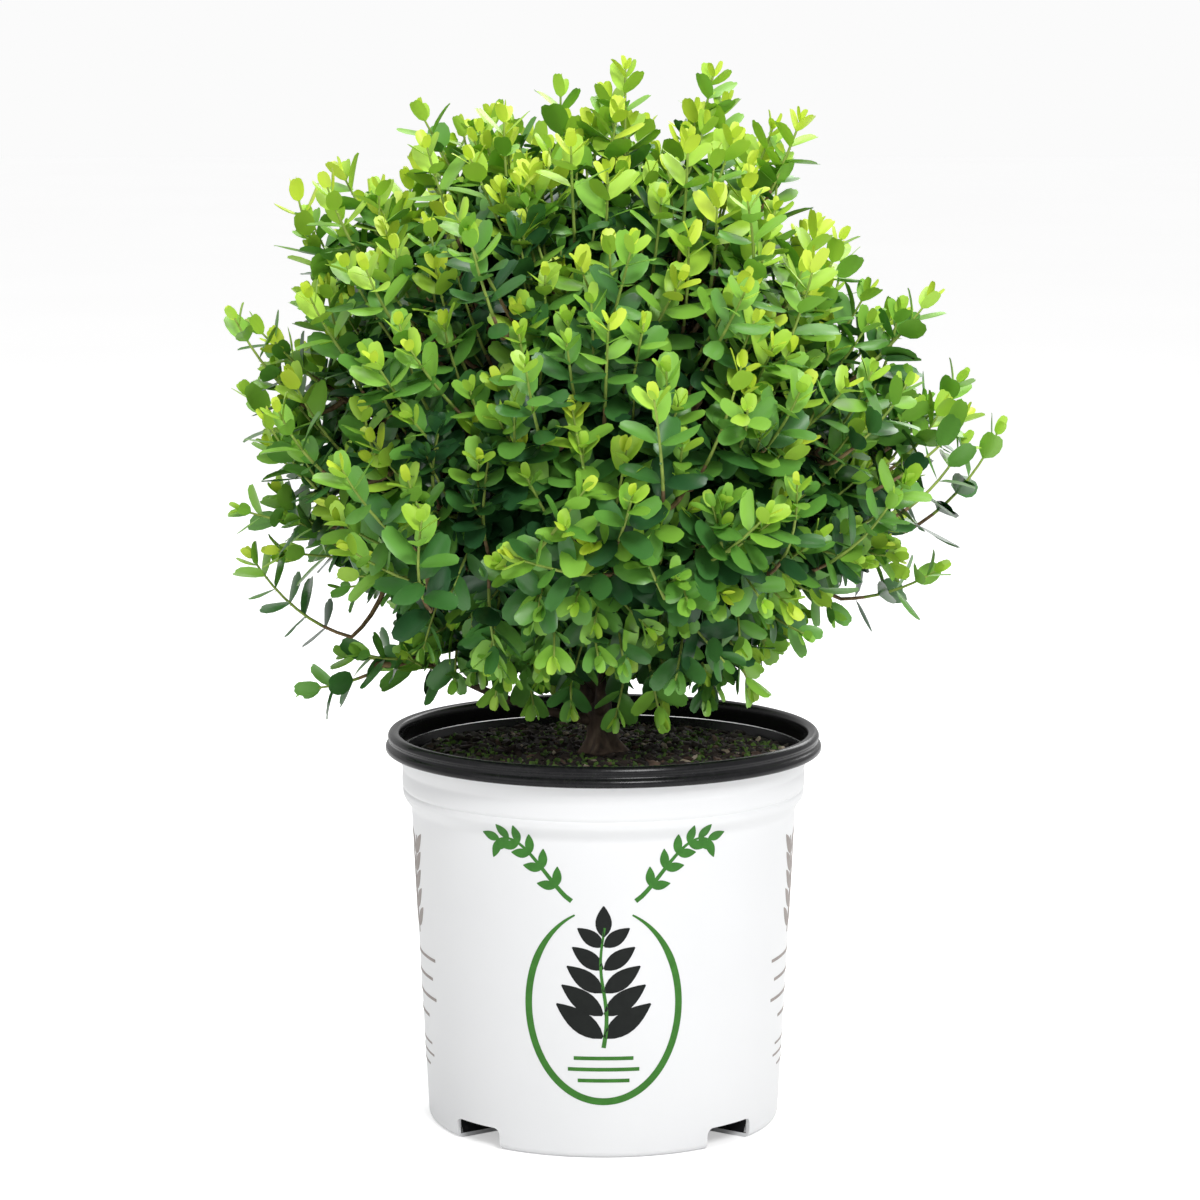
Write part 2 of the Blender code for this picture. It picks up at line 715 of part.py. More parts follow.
def fuse(name, pieces, finish):
    """Joins the pieces into one solid with one Boolean union, and removes them."""
    joined = bpy.data.collections.new(name)
    bpy.context.scene.collection.children.link(joined)
    for piece in pieces[1:]:
        joined.objects.link(bpy.data.objects.new("piece", piece))
    body = add_object(name, pieces[0])
    boolean(body, "UNION", joined)
    graph = bpy.context.evaluated_depsgraph_get()
    mesh = bpy.data.meshes.new_from_object(body.evaluated_get(graph))
    mesh.name = name
    for piece in list(joined.objects):
        bpy.data.objects.remove(piece)
    bpy.data.collections.remove(joined)
    bpy.data.objects.remove(body)
    largest_shell(mesh)
    add_object(name, mesh, finish)


def build_mass(mass, limbs, finish):
    rng = random.Random(f"{SEED} {mass.name}")
    grower = Grower(mass, limbs)
    grower.add_core()
    grower.add_stem()
    for tip in mass.tips:
        grower.add_shoot(tip, rng)
    fuse(f"foliage_{mass.name}", grower.pieces, finish)


def main():
    for old in list(bpy.data.objects):
        bpy.data.objects.remove(old)
    white_plastic = material("white_plastic", (0.86, 0.87, 0.88), 0.30)
    black_plastic = material("black_plastic", (0.012, 0.012, 0.013), 0.35)
    potting_soil = material("potting_soil", (0.030, 0.022, 0.016), 0.95)
    bark = material("bark", (0.115, 0.075, 0.048), 0.80)
    leaf_green = material("leaf_green", (0.085, 0.210, 0.035), 0.45)
    build_pot(white_plastic)
    build_rim(black_plastic)
    build_soil(potting_soil)
    trunk = build_trunk(bark)
    masses = lay_out_masses()
    limbs = build_boughs(masses, trunk, bark)
    spread_tips(masses)
    for mass in masses:
        others = [other.stem() for other in masses if other is not mass]
        build_mass(mass, limbs + others, leaf_green)


if __name__ == "__main__":
    main()
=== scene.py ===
"""The looks of a potted boxwood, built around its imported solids.

The crown grows by the rule of its solids, carried on to finer twigs: a stem from each bough, shoots
for tips all over the crown's outline, in clumps, and crossed pairs of leaves along each shoot.
"""

import json
import math
import random
from collections import defaultdict

import bmesh
import bpy
import numpy as np
from mathutils import Matrix, Vector, noise

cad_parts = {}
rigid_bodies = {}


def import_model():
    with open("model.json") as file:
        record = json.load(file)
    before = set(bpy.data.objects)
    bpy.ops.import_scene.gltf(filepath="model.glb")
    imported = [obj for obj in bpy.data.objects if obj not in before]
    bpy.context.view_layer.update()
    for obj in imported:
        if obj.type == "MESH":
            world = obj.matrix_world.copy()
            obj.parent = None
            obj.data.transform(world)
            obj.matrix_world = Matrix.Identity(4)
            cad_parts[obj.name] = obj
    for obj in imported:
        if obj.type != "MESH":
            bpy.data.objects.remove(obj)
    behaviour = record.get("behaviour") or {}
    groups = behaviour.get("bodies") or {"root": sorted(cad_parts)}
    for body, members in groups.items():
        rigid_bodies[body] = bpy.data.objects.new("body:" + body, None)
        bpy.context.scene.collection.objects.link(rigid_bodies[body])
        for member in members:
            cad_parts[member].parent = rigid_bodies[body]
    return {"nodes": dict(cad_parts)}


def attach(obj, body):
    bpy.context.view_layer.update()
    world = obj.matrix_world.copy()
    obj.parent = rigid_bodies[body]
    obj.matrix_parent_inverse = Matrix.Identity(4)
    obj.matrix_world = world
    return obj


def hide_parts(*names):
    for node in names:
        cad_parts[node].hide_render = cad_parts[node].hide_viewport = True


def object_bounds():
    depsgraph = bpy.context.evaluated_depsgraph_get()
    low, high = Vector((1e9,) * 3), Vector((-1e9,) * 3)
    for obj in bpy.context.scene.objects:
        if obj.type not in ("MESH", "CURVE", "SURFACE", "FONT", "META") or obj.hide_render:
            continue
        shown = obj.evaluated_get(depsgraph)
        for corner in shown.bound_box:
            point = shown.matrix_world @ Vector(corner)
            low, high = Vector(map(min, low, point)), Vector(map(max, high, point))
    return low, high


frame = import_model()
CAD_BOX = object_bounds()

# Camera and light
CAMERA_PLACE = (-0.0018, -2.090, 0.5718)
CAMERA_TILT = math.radians(8.2)
CAMERA_LENS = 123.0
SENSOR_WIDTH = 36.0
AIM = Vector((0.0, 0.0, 0.30))
WORLD_LIGHT = 0.56
WORLD_SEEN = 0.965
FLOOR_GLOW = 0.45
FLOOR_REACH = 14.0
LIGHTS = (  # name, place, size, watts
    ("key", (0.8, -2.2, 2.0), 0.9, 50.0),
    ("fill", (-1.9, -1.5, 1.2), 1.6, 6.0),
    ("top", (0.2, 0.5, 2.4), 1.2, 26.0),
    ("back", (0.9, 1.9, 1.5), 1.2, 16.0),
)

# The pot, in the sizes of its solids
TURNED_SIDES = 160
BASE_RADIUS = 0.0912
BASE_ROUND = 0.0035
SHOULDER_RADIUS = 0.0994
SHOULDER_HEIGHT = 0.163
COLLAR_RADIUS = 0.1038
COLLAR_LOW = 0.172
COLLAR_HIGH = 0.184
FLARE_RADIUS = 0.1062
WALL_TOP = 0.1925
WHITE_LAYER = 0.0010
BLACK_LAYER = 0.0008
POT_FLOOR = 0.0022
RIM_INNER_RADIUS = 0.1052
RIM_LIP_RADIUS = 0.1125
RIM_ROLL_RADIUS = 0.1117
RIM_GROOVE_RADIUS = 0.1108
RIM_TOP = 0.2035
GAP = 0.0003
DRAINS = 4
DRAIN_FIRST_AZIMUTH = math.radians(45)
DRAIN_HALF_ANGLE = math.radians(9.8)
DRAIN_INNER_RADIUS = 0.062
DRAIN_HEIGHT = 0.011
DRAIN_CORNER = 0.0035
HOUSING_WALL = 0.0012
HOUSING_REACH = BASE_RADIUS - 0.0016
LAYER_GAP = 0.0001
GROOVE_HEIGHT = 0.1745
GROOVE_WIDTH = 0.0007
GROOVE_DEPTH = 0.0006
COLLAR_SWELL = 0.0004
SHOULDER_LEAD = 0.002
WALL_STEPS = 16
COLLAR_STEPS = 42
ARC_STEPS = 5

# The print: a name's first number is a distance round the wall from the front, or a length
INK_PROUD = 0.00014
INK_SUNK = -0.00012
EMBLEM_HEIGHT = 0.0800
EMBLEM_HALF_WIDTH = 0.0385
EMBLEM_HALF_HEIGHT = 0.0500
EMBLEM_STROKE = 0.0036
EMBLEM_START = math.radians(112)
EMBLEM_SWEEP = math.radians(316)
EMBLEM_STEPS = 120
EMBLEM_RULES = (0.0525, 0.0058, 0.0019, (0.030, 0.036, 0.026))  # top, pitch, stroke, lengths
SPRAY_FOOT = (0.016, 0.1335)
SPRAY_SPAN = 0.040
SPRAY_RISE = 0.030
SPRAY_ARCH = 1.9
SPRAY_STROKE = 0.0024
SPRAY_STEPS = 24
SPRAY_LEAF = (0.0105, 0.0048)
SPRAY_LEAN = 0.75
STALK_FOOT = 0.058
STALK_LENGTH = 0.062
STALK_SWAY = 0.0015
STALK_STROKE = 0.0022
STALK_STEPS = 20
DARK_PAIRS = 5
DARK_FIRST = 0.0630
DARK_PITCH = 0.0118
DARK_LEAF = (0.0300, 0.0112)
DARK_SHRINK = (0.0034, 0.0009)
DARK_LEANS = (math.radians(36), math.radians(144))
DARK_TOP_LEAF = (0.0165, 0.0082)
PANEL_ACROSS = 0.1120
PANEL_STALK_FOOT = (0.022, 0.100)
PANEL_STALK_LENGTH = 0.052
PANEL_STALK_SWAY = 0.003
PANEL_STALK_STROKE = 0.0016
PANEL_STALK_STEPS = 16
PANEL_LEAF = (0.0170, 0.0062)
PANEL_LEAN = 0.8
PANEL_RULES_ACROSS = 0.024
PANEL_RULES = (
    (0.090, 0.0105, 0.0016, (0.058, 0.050, 0.058, 0.034)),
    (0.044, 0.0060, 0.0011, (0.040, 0.046, 0.030)),
)
INK_GREEN = (0.050, 0.190, 0.030)
INK_BLACK = (0.012, 0.014, 0.013)
INK_GREY = (0.330, 0.290, 0.270)

# Soil
SOIL_BOTTOM = 0.0145
SOIL_EDGE_HEIGHT = 0.1885
SOIL_TOP = 0.1912
SOIL_FLAT_RADIUS = 0.022
SOIL_RADIUS = 0.1012
SOIL_LIP = 0.002
SOIL_CLEARANCE = 0.0004
SOIL_SIDES = 150
SOIL_CIRCLES = 44
SOIL_DEPTH_RINGS = 24
SOIL_GRAIN = 95
SOIL_ROUGHNESS = 0.0019
CHIPS = 1500
MOSS_TUFTS = 1500

# The trunk and boughs, as in the solids
TRUNK_PATH = (
    (0.000, 0.000, SOIL_TOP + GAP),
    (-0.001, 0.001, 0.205),
    (-0.004, 0.003, 0.235),
    (-0.003, 0.003, 0.280),
    (0.002, 0.001, 0.325),
    (0.005, -0.002, 0.365),
    (0.004, 0.000, 0.400),
)
TRUNK_RADIUS = 0.0072
TRUNK_TIP_RADIUS = 0.0026
FLARE_EXTRA = 0.0062
FLARE_HEIGHT = 0.014
BOUGH_TIP_RADIUS = 0.0017
BOUGH_SHORT_OF_CORE = 0.007
CORE_RADIUS = 0.040
FORK_HEIGHT = 0.300
TRUNK_SIDES = 28
TRUNK_STEPS = 14
BOUGH_SIDES = 12
BOUGH_STEPS = 30
BOUGH_SINK = 0.6
BOUGH_SWELL = 0.0007
BARK_DEPTH = (0.20, 0.16)
LIMB_FOOT_POINT = 0.4
LIMB_TIP_POINT = 0.8

# The crown's outline and its masses, as in the solids
CROWN_CENTRE = Vector((0.0, 0.0, 0.360))
CROWN_LEFT = 0.188
CROWN_RIGHT = 0.181
CROWN_FRONT = 0.178
CROWN_UP = 0.185
CROWN_DOWN = 0.152
POWER_LEFT_UP, POWER_RIGHT_UP, POWER_FRONT_UP = 2.6, 1.7, 2.15
POWER_LEFT_DOWN, POWER_RIGHT_DOWN, POWER_FRONT_DOWN = 1.7, 1.85, 1.8
MASS_ROWS = (
    ("upper", 5, math.radians(48), math.radians(-90)),
    ("middle", 7, math.radians(12), math.radians(-64)),
    ("lower", 6, math.radians(-29), math.radians(-90)),
)
HEART_SHARE = 0.61
ROW_FORKS = {
    "upper": (0.305, 0.0095, 0.75, 0.0023),
    "middle": (0.250, 0.0075, 0.65, 0.0027),
    "lower": (0.2135, 0.0058, 0.30, 0.0030),
}
SPRIG_HEART = Vector((-0.118, -0.010, 0.2385))
SPRIG_BOUGH_TIP = Vector((-0.085, -0.008, 0.2375))
SPRIG_FORK_HEIGHT = 0.2075
SPRIG_RISE = 0.35
SPRIG_BOUGH_RADIUS = 0.0026
SPRIG_TIPS = (
    (-0.159, -0.012, 0.2255),
    (-0.141, 0.006, 0.2430),
    (-0.131, -0.030, 0.2500),
    (-0.116, 0.014, 0.2350),
    (-0.106, -0.026, 0.2480),
)
FURTHEST_TIPS = (
    (0.011, -0.010, 0.550),
    (0.058, 0.020, 0.547),
    (0.102, -0.012, 0.524),
    (-0.022, 0.030, 0.541),
    (-0.050, -0.025, 0.528),
    (-0.097, 0.010, 0.527),
    (-0.141, -0.030, 0.492),
    (-0.159, 0.022, 0.487),
    (-0.191, -0.010, 0.424),
    (-0.189, 0.030, 0.381),
    (-0.192, -0.020, 0.322),
    (-0.186, 0.012, 0.298),
    (0.170, -0.015, 0.434),
    (0.189, 0.024, 0.389),
    (0.205, -0.006, 0.366),
    (0.178, 0.000, 0.290),
    (0.121, -0.030, 0.261),
)
TIP_CANDIDATES = 24
TIP_LOWEST = -0.90
TIP_REACH = (0.93, 1.0)
SHOOT_UP = 0.80
SHOOT_OUT = 0.60
SHOOT_DROOP = 1.6
SEED = 41

# Finer growth than the solids have
SHARED_TIPS = 112
FINER_TIPS = 400
FINER_CANDIDATES = 4
FINER_REACH = (0.90, 0.985)
HOLLOW_FROM = 0.05
HOLLOW_DEPTH = 1.05
COMPANIONS = 3
COMPANION_SPREAD = 0.012
COMPANION_DEPTH = (0.010, 0.030)
HANGING_TIPS = (
    (0.004, -0.052, 0.2100),
    (0.030, -0.060, 0.2120),
    (0.052, -0.052, 0.2190),
    (-0.016, -0.058, 0.2160),
    (-0.034, -0.048, 0.2150),
    (-0.056, -0.050, 0.2200),
    (-0.075, -0.040, 0.2270),
    (0.078, -0.044, 0.2240),
    (-0.030, 0.052, 0.2150),
    (0.034, 0.048, 0.2130),
)
UNDERSIDE_TIPS = 60
UNDERSIDE_SINES = (-0.995, -0.72)
UNDERSIDE_REACH = (0.86, 1.02)
INNER_TIPS = 270
INNER_SINES = (-0.95, 1.0)
INNER_REACH = (0.58, 0.80)
SHOOT_LENGTHS = (0.050, 0.088)
SHOOT_RADIUS = 0.00105
SHOOT_TIP_RADIUS = 0.00055
TWIG_RADIUS = 0.0017
TWIG_STEPS = 5
STEM_STEPS = 6
TWIG_SAG = 0.12
TWIG_BEND = 0.08
SHORTEST_TWIG = 0.0015
FIRST_PAIR = 0.0015
INTERNODES = (0.0045, 0.0075, 0.0100, 0.0115, 0.0125, 0.0130, 0.0130)
LEAF_LENGTHS = (0.0095, 0.0145, 0.0190, 0.0220, 0.0230, 0.0230, 0.0220, 0.0210)
LEAF_ANGLES = (14.0, 30.0, 44.0, 54.0, 60.0, 64.0, 68.0, 72.0)
LEAF_WIDTH = 0.54
LEAF_TEMPLATES = 8
LEAF_LENGTH_SPREAD = (0.86, 1.12)
LEAF_BREADTHS = (0.86, 1.12)
LEAF_TURN_TO_LIGHT = 0.38
LEAF_GAPS_FROM = 3
LEAF_GAP_CHANCE = 0.14
SHOOT_STEPS = 8
SHOOT_BROWN_STEPS = 2
SHOOT_WANDER = (0.20, 0.20, 0.14)
PAIR_AGING = 0.80
# Painted shade: leaves of shoots that face down get darker tints, and leaves of inner shoots much darker ones
DOWNWARD_PAINTED_SHADE = 2.3
INNER_PAINTED_SHADE = 3.0
SPRIG_SIZE = 0.98
SPRIG_SHOOT_LENGTHS = (0.028, 0.042)
RIM_CLEARANCE = 0.003
BOX_SLACK = 0.002
SOIL_CLEAR = 0.0015

# Colours that vary: where each stands in the noise, and its base colour
FLOOR_STOPS = ((0.2, (0.90, 0.90, 0.90)), (0.8, (0.93, 0.93, 0.93)))
WHITE_STOPS = ((0.3, (0.735, 0.740, 0.750)), (0.7, (0.765, 0.768, 0.776)))
BLACK_STOPS = ((0.3, (0.004, 0.004, 0.005)), (0.8, (0.010, 0.010, 0.011)))
SOIL_STOPS = ((0.30, (0.003, 0.003, 0.002)), (0.52, (0.011, 0.008, 0.006)), (0.75, (0.034, 0.024, 0.017)))
DARK_CHIP_STOPS = ((0.3, (0.007, 0.005, 0.004)), (0.7, (0.030, 0.019, 0.013)))
BROWN_CHIP_STOPS = ((0.3, (0.035, 0.021, 0.014)), (0.7, (0.120, 0.075, 0.050)))
PALE_CHIP_STOPS = ((0.3, (0.22, 0.17, 0.12)), (0.7, (0.42, 0.36, 0.28)))
MOSS_STOPS = ((0.3, (0.014, 0.036, 0.006)), (0.7, (0.100, 0.190, 0.024)))
BARK_STOPS = ((0.3, (0.030, 0.019, 0.013)), (0.55, (0.100, 0.066, 0.044)), (0.8, (0.210, 0.155, 0.110)))
TWIG_STOPS = ((0.3, (0.120, 0.072, 0.030)), (0.7, (0.260, 0.175, 0.080)))
YOUNG_STOPS = ((0.3, (0.200, 0.300, 0.050)), (0.7, (0.330, 0.430, 0.080)))

# Leaf tints from the youngest to the oldest, the darker ones also used as painted shade on the crown's
# underside and inside: base colour and roughness
TINTS = (
    ("tip", (0.570, 0.730, 0.060), 0.42),
    ("young", (0.390, 0.635, 0.060), 0.40),
    ("fresh", (0.235, 0.490, 0.056), 0.37),
    ("mid", (0.122, 0.320, 0.048), 0.34),
    ("old", (0.054, 0.178, 0.038), 0.31),
    ("dark", (0.022, 0.086, 0.026), 0.30),
)


def to_mesh_object(name, points, faces, finish, smooth=True):
    """An object from arrays: points, and faces that all have the same number of corners."""
    points = np.asarray(points, dtype=np.float32)
    faces = np.asarray(faces, dtype=np.int32)
    mesh = bpy.data.meshes.new(name)
    mesh.vertices.add(len(points))
    mesh.vertices.foreach_set("co", points.ravel())
    mesh.loops.add(faces.size)
    mesh.loops.foreach_set("vertex_index", faces.ravel())
    mesh.polygons.add(len(faces))
    mesh.polygons.foreach_set("loop_start", np.arange(0, faces.size, faces.shape[1], dtype=np.int32))
    mesh.update(calc_edges=True)
    mesh.polygons.foreach_set("use_smooth", np.full(len(faces), smooth))
    mesh.materials.append(finish)
    made = bpy.data.objects.new(name, mesh)
    bpy.context.scene.collection.objects.link(made)
    return made


def bm_object(name, bm, finish, smooth_angle=None):
    """An object from a bmesh, with its faces turned outwards."""
    bmesh.ops.recalc_face_normals(bm, faces=bm.faces)
    mesh = bpy.data.meshes.new(name)
    bm.to_mesh(mesh)
    bm.free()
    mesh.materials.append(finish)
    if smooth_angle is not None:
        mesh.shade_smooth()
        mesh.set_sharp_from_angle(angle=math.radians(smooth_angle))
    made = bpy.data.objects.new(name, mesh)
    bpy.context.scene.collection.objects.link(made)
    return made


def declare(piece, slot, *nodes):
    """Rides the piece on the plant's one body, and hides any solids that it stands for."""
    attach(piece, "root")
    if nodes:
        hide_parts(*nodes)


def shader_of(name, roughness, colour=(0.5, 0.5, 0.5)):
    """(material, nodes, links, shader) of a new material."""
    made = bpy.data.materials.new(name)
    made.use_nodes = True
    shader = made.node_tree.nodes["Principled BSDF"]
    shader.inputs["Base Color"].default_value = (*colour, 1.0)
    shader.inputs["Roughness"].default_value = roughness
    return made, made.node_tree.nodes, made.node_tree.links, shader


def noise_node(nodes, links, scale, detail=4.0, stretch=(1.0, 1.0, 1.0)):
    """A noise texture in the object's own coordinates."""
    place = nodes.new("ShaderNodeTexCoord")
    mapping = nodes.new("ShaderNodeMapping")
    mapping.inputs["Scale"].default_value = stretch
    texture = nodes.new("ShaderNodeTexNoise")
    texture.inputs["Scale"].default_value = scale
    texture.inputs["Detail"].default_value = detail
    links.new(place.outputs["Object"], mapping.inputs["Vector"])
    links.new(mapping.outputs["Vector"], texture.inputs["Vector"])
    return texture


def ramp_node(nodes, links, source, stops):
    """A colour ramp through (place, colour) stops."""
    ramp = nodes.new("ShaderNodeValToRGB")
    elements = ramp.color_ramp.elements
    while len(elements) < len(stops):
        elements.new(0.5)
    for element, (place, colour) in zip(elements, stops):
        element.position = place
        element.color = (*colour, 1.0)
    links.new(source, ramp.inputs["Fac"])
    return ramp


def add_bump(nodes, links, shader, source, strength, distance):
    bump = nodes.new("ShaderNodeBump")
    bump.inputs["Strength"].default_value = strength
    bump.inputs["Distance"].default_value = distance
    links.new(source, bump.inputs["Height"])
    links.new(bump.outputs["Normal"], shader.inputs["Normal"])


def add_roughness(nodes, links, shader, source, low, high):
    spread = nodes.new("ShaderNodeMapRange")
    spread.inputs["To Min"].default_value = low
    spread.inputs["To Max"].default_value = high
    links.new(source, spread.inputs["Value"])
    links.new(spread.outputs["Result"], shader.inputs["Roughness"])


def grainy(name, scale, detail, stops, roughness, bump=None, specular=0.5, stretch=(1.0, 1.0, 1.0)):
    """A finish whose colour, roughness and relief all follow one noise."""
    made, nodes, links, shader = shader_of(name, roughness[0])
    shader.inputs["Specular IOR Level"].default_value = specular
    grain = noise_node(nodes, links, scale, detail, stretch).outputs["Fac"]
    ramp = ramp_node(nodes, links, grain, stops)
    links.new(ramp.outputs["Color"], shader.inputs["Base Color"])
    add_roughness(nodes, links, shader, grain, *roughness)
    if bump:
        add_bump(nodes, links, shader, grain, *bump)
    return made


def white_plastic():
    """Its colour drifts slowly, and its gloss and relief are fine."""
    made, nodes, links, shader = shader_of("white_plastic", 0.35)
    shader.inputs["Specular IOR Level"].default_value = 0.30
    broad = noise_node(nodes, links, 9.0, 2.0).outputs["Fac"]
    fine = noise_node(nodes, links, 420.0, 3.0).outputs["Fac"]
    ramp = ramp_node(nodes, links, broad, WHITE_STOPS)
    links.new(ramp.outputs["Color"], shader.inputs["Base Color"])
    add_roughness(nodes, links, shader, fine, 0.30, 0.42)
    add_bump(nodes, links, shader, fine, 0.05, 0.0004)
    return made


def black_plastic():
    return grainy("black_plastic", 300.0, 4.0, BLACK_STOPS, (0.18, 0.30), (0.08, 0.0004), specular=0.26)


def print_ink(name, colour):
    darker = tuple(0.82 * c for c in colour)
    return grainy(name, 260.0, 3.0, ((0.35, darker), (0.65, colour)), (0.38, 0.52), specular=0.15)


def soil_material(name, stops, bump):
    return grainy(name, 210.0, 8.0, stops, (0.80, 1.0), (bump, 0.0012))


def bark_material(name, stops, scale, bump):
    return grainy(name, scale, 8.0, stops, (0.65, 0.92), (bump, 0.0008), stretch=(1.0, 1.0, 0.28))


def make_camera():
    data = bpy.data.cameras.new("camera")
    data.lens = CAMERA_LENS
    data.sensor_width = SENSOR_WIDTH
    camera = bpy.data.objects.new("camera", data)
    camera.location = CAMERA_PLACE
    camera.rotation_euler = (math.pi / 2 - CAMERA_TILT, 0.0, 0.0)
    bpy.context.scene.collection.objects.link(camera)
    bpy.context.scene.camera = camera


def split_strength(tree, target, elsewhere, seen):
    """Gives the target one value where the camera sees it, and another in all other light."""
    path = tree.nodes.new("ShaderNodeLightPath")
    value = tree.nodes.new("ShaderNodeMapRange")
    value.inputs["To Min"].default_value = elsewhere
    value.inputs["To Max"].default_value = seen
    tree.links.new(path.outputs["Is Camera Ray"], value.inputs["Value"])
    tree.links.new(value.outputs["Result"], target)


def make_stage():
    """A pale floor that runs out of sight, a white world and soft lamps."""
    made, nodes, links, shader = shader_of("pale_floor", 0.85)
    broad = noise_node(nodes, links, 1.5, 2.0).outputs["Fac"]
    ramp = ramp_node(nodes, links, broad, FLOOR_STOPS)
    links.new(ramp.outputs["Color"], shader.inputs["Base Color"])
    shader.inputs["Emission Color"].default_value = (1.0, 1.0, 1.0, 1.0)
    split_strength(made.node_tree, shader.inputs["Emission Strength"], 0.0, FLOOR_GLOW)
    corners = [(FLOOR_REACH * x, FLOOR_REACH * y, 0) for x, y in ((-1, -1), (1, -1), (1, 1), (-1, 1))]
    to_mesh_object("floor", corners, [(0, 1, 2, 3)], made, smooth=False)
    world = bpy.data.worlds.new("studio")
    world.use_nodes = True
    back = world.node_tree.nodes["Background"]
    back.inputs["Color"].default_value = (1.0, 1.0, 1.0, 1.0)
    split_strength(world.node_tree, back.inputs["Strength"], WORLD_LIGHT, WORLD_SEEN)
    bpy.context.scene.world = world
    bpy.context.scene.view_settings.view_transform = "Standard"
    for name, place, size, watts in LIGHTS:
        data = bpy.data.lights.new(name, "AREA")
        data.size = size
        data.energy = watts
        lamp = bpy.data.objects.new(name, data)
        lamp.location = place
        lamp.rotation_euler = (AIM - Vector(place)).to_track_quat("-Z", "Y").to_euler()
        bpy.context.scene.collection.objects.link(lamp)


def smoothstep(t):
    t = min(1.0, max(0.0, t))
    return t * t * (3 - 2 * t)


def wall_heights(low):
    """Heights up the wall, close together round the shoulder and the collar."""
    start = SHOULDER_HEIGHT - SHOULDER_LEAD
    below = [low + (start - low) * k / WALL_STEPS for k in range(WALL_STEPS)]
    return below + [start + (WALL_TOP - start) * k / COLLAR_STEPS for k in range(COLLAR_STEPS + 1)]


def wall_radius(height):
    """The radius of the pot's white wall at a height."""
    if height <= SHOULDER_HEIGHT:
        share = (height - BASE_ROUND) / (SHOULDER_HEIGHT - BASE_ROUND)
        return BASE_RADIUS + (SHOULDER_RADIUS - BASE_RADIUS) * share
    if height <= COLLAR_LOW:
        share = smoothstep((height - SHOULDER_HEIGHT) / (COLLAR_LOW - SHOULDER_HEIGHT))
        return SHOULDER_RADIUS + (COLLAR_RADIUS - SHOULDER_RADIUS) * share
    if height <= COLLAR_HIGH:
        share = (height - COLLAR_LOW) / (COLLAR_HIGH - COLLAR_LOW)
        groove = GROOVE_DEPTH * math.exp(-(((height - GROOVE_HEIGHT) / GROOVE_WIDTH) ** 2))
        return COLLAR_RADIUS + COLLAR_SWELL * math.sin(math.pi * share) - groove
    share = (height - COLLAR_HIGH) / (WALL_TOP - COLLAR_HIGH)
    return COLLAR_RADIUS + (FLARE_RADIUS - COLLAR_RADIUS) * share


def turned(bm, profile, closed):
    """Turns (radius, height) points about Z into the bmesh."""
    rings = []
    for radius, height in profile:
        if radius == 0:
            rings.append([bm.verts.new((0.0, 0.0, height))] * TURNED_SIDES)
            continue
        ring = []
        for k in range(TURNED_SIDES):
            angle = 2 * math.pi * k / TURNED_SIDES
            ring.append(bm.verts.new((radius * math.cos(angle), radius * math.sin(angle), height)))
        rings.append(ring)
    pairs = list(zip(rings, rings[1:]))
    if closed:
        pairs.append((rings[-1], rings[0]))
    for low, high in pairs:
        for k in range(TURNED_SIDES):
            following = (k + 1) % TURNED_SIDES
            corners = dict.fromkeys((low[k], low[following], high[following], high[k]))
            bm.faces.new(list(corners))


def rounded(points, rounds=2):
    """A closed outline with its corners cut off again and again."""
    for _ in range(rounds):
        cut = []
        for (ax, ay), (bx, by) in zip(points, points[1:] + points[:1]):
            cut.append((0.75 * ax + 0.25 * bx, 0.75 * ay + 0.25 * by))
            cut.append((0.25 * ax + 0.75 * bx, 0.25 * ay + 0.75 * by))
        points = cut
    return points


def arch_outline(half_angle, low, high, corner):
    """(azimuth, height) points round a drain opening with rounded upper corners."""
    turn = corner / BASE_RADIUS
    outline = [(-half_angle, low)]
    for k in range(ARC_STEPS + 1):
        angle = math.pi / 2 * k / ARC_STEPS
        outline.append((-half_angle + turn * (1 - math.cos(angle)), high - corner * (1 - math.sin(angle))))
    for k in range(ARC_STEPS + 1):
        angle = math.pi / 2 * (1 - k / ARC_STEPS)
        outline.append((half_angle - turn * (1 - math.cos(angle)), high - corner * (1 - math.sin(angle))))
    outline.append((half_angle, low))
    return outline


def arch_block(name, outline, inner, outer, azimuth):
    """A solid that runs the outline from one radius to another."""
    bm = bmesh.new()
    rings = []
    for radius in (inner, outer):
        ring = []
        for turn, height in outline:
            angle = azimuth + turn
            ring.append(bm.verts.new((radius * math.cos(angle), radius * math.sin(angle), height)))
        rings.append(ring)
    count = len(outline)
    for k in range(count):
        following = (k + 1) % count
        bm.faces.new((rings[0][k], rings[0][following], rings[1][following], rings[1][k]))
    bm.faces.new(rings[0][::-1])
    bm.faces.new(rings[1])
    bmesh.ops.recalc_face_normals(bm, faces=bm.faces)
    mesh = bpy.data.meshes.new(name)
    bm.to_mesh(mesh)
    bm.free()
    return bpy.data.objects.new(name, mesh)


def cut_drains(target):
    """Cuts the four drain channels from the target, and applies the cut."""
    cutters = bpy.data.collections.new("channels")
    bpy.context.scene.collection.children.link(cutters)
    outline = arch_outline(DRAIN_HALF_ANGLE, -POT_FLOOR, DRAIN_HEIGHT, DRAIN_CORNER)
    for k in range(DRAINS):
        azimuth = DRAIN_FIRST_AZIMUTH + 2 * math.pi * k / DRAINS
        cutters.objects.link(arch_block("channel", outline, DRAIN_INNER_RADIUS, BASE_RADIUS * 1.1, azimuth))
    modifier = target.modifiers.new("Channels", "BOOLEAN")
    modifier.operation = "DIFFERENCE"
    modifier.solver = "EXACT"
    modifier.operand_type = "COLLECTION"
    modifier.collection = cutters
    graph = bpy.context.evaluated_depsgraph_get()
    mesh = bpy.data.meshes.new_from_object(target.evaluated_get(graph))
    target.modifiers.clear()
    target.data = mesh
    mesh.shade_smooth()
    mesh.set_sharp_from_angle(angle=math.radians(30))
    for cutter in list(cutters.objects):
        bpy.data.objects.remove(cutter)
    bpy.data.collections.remove(cutters)


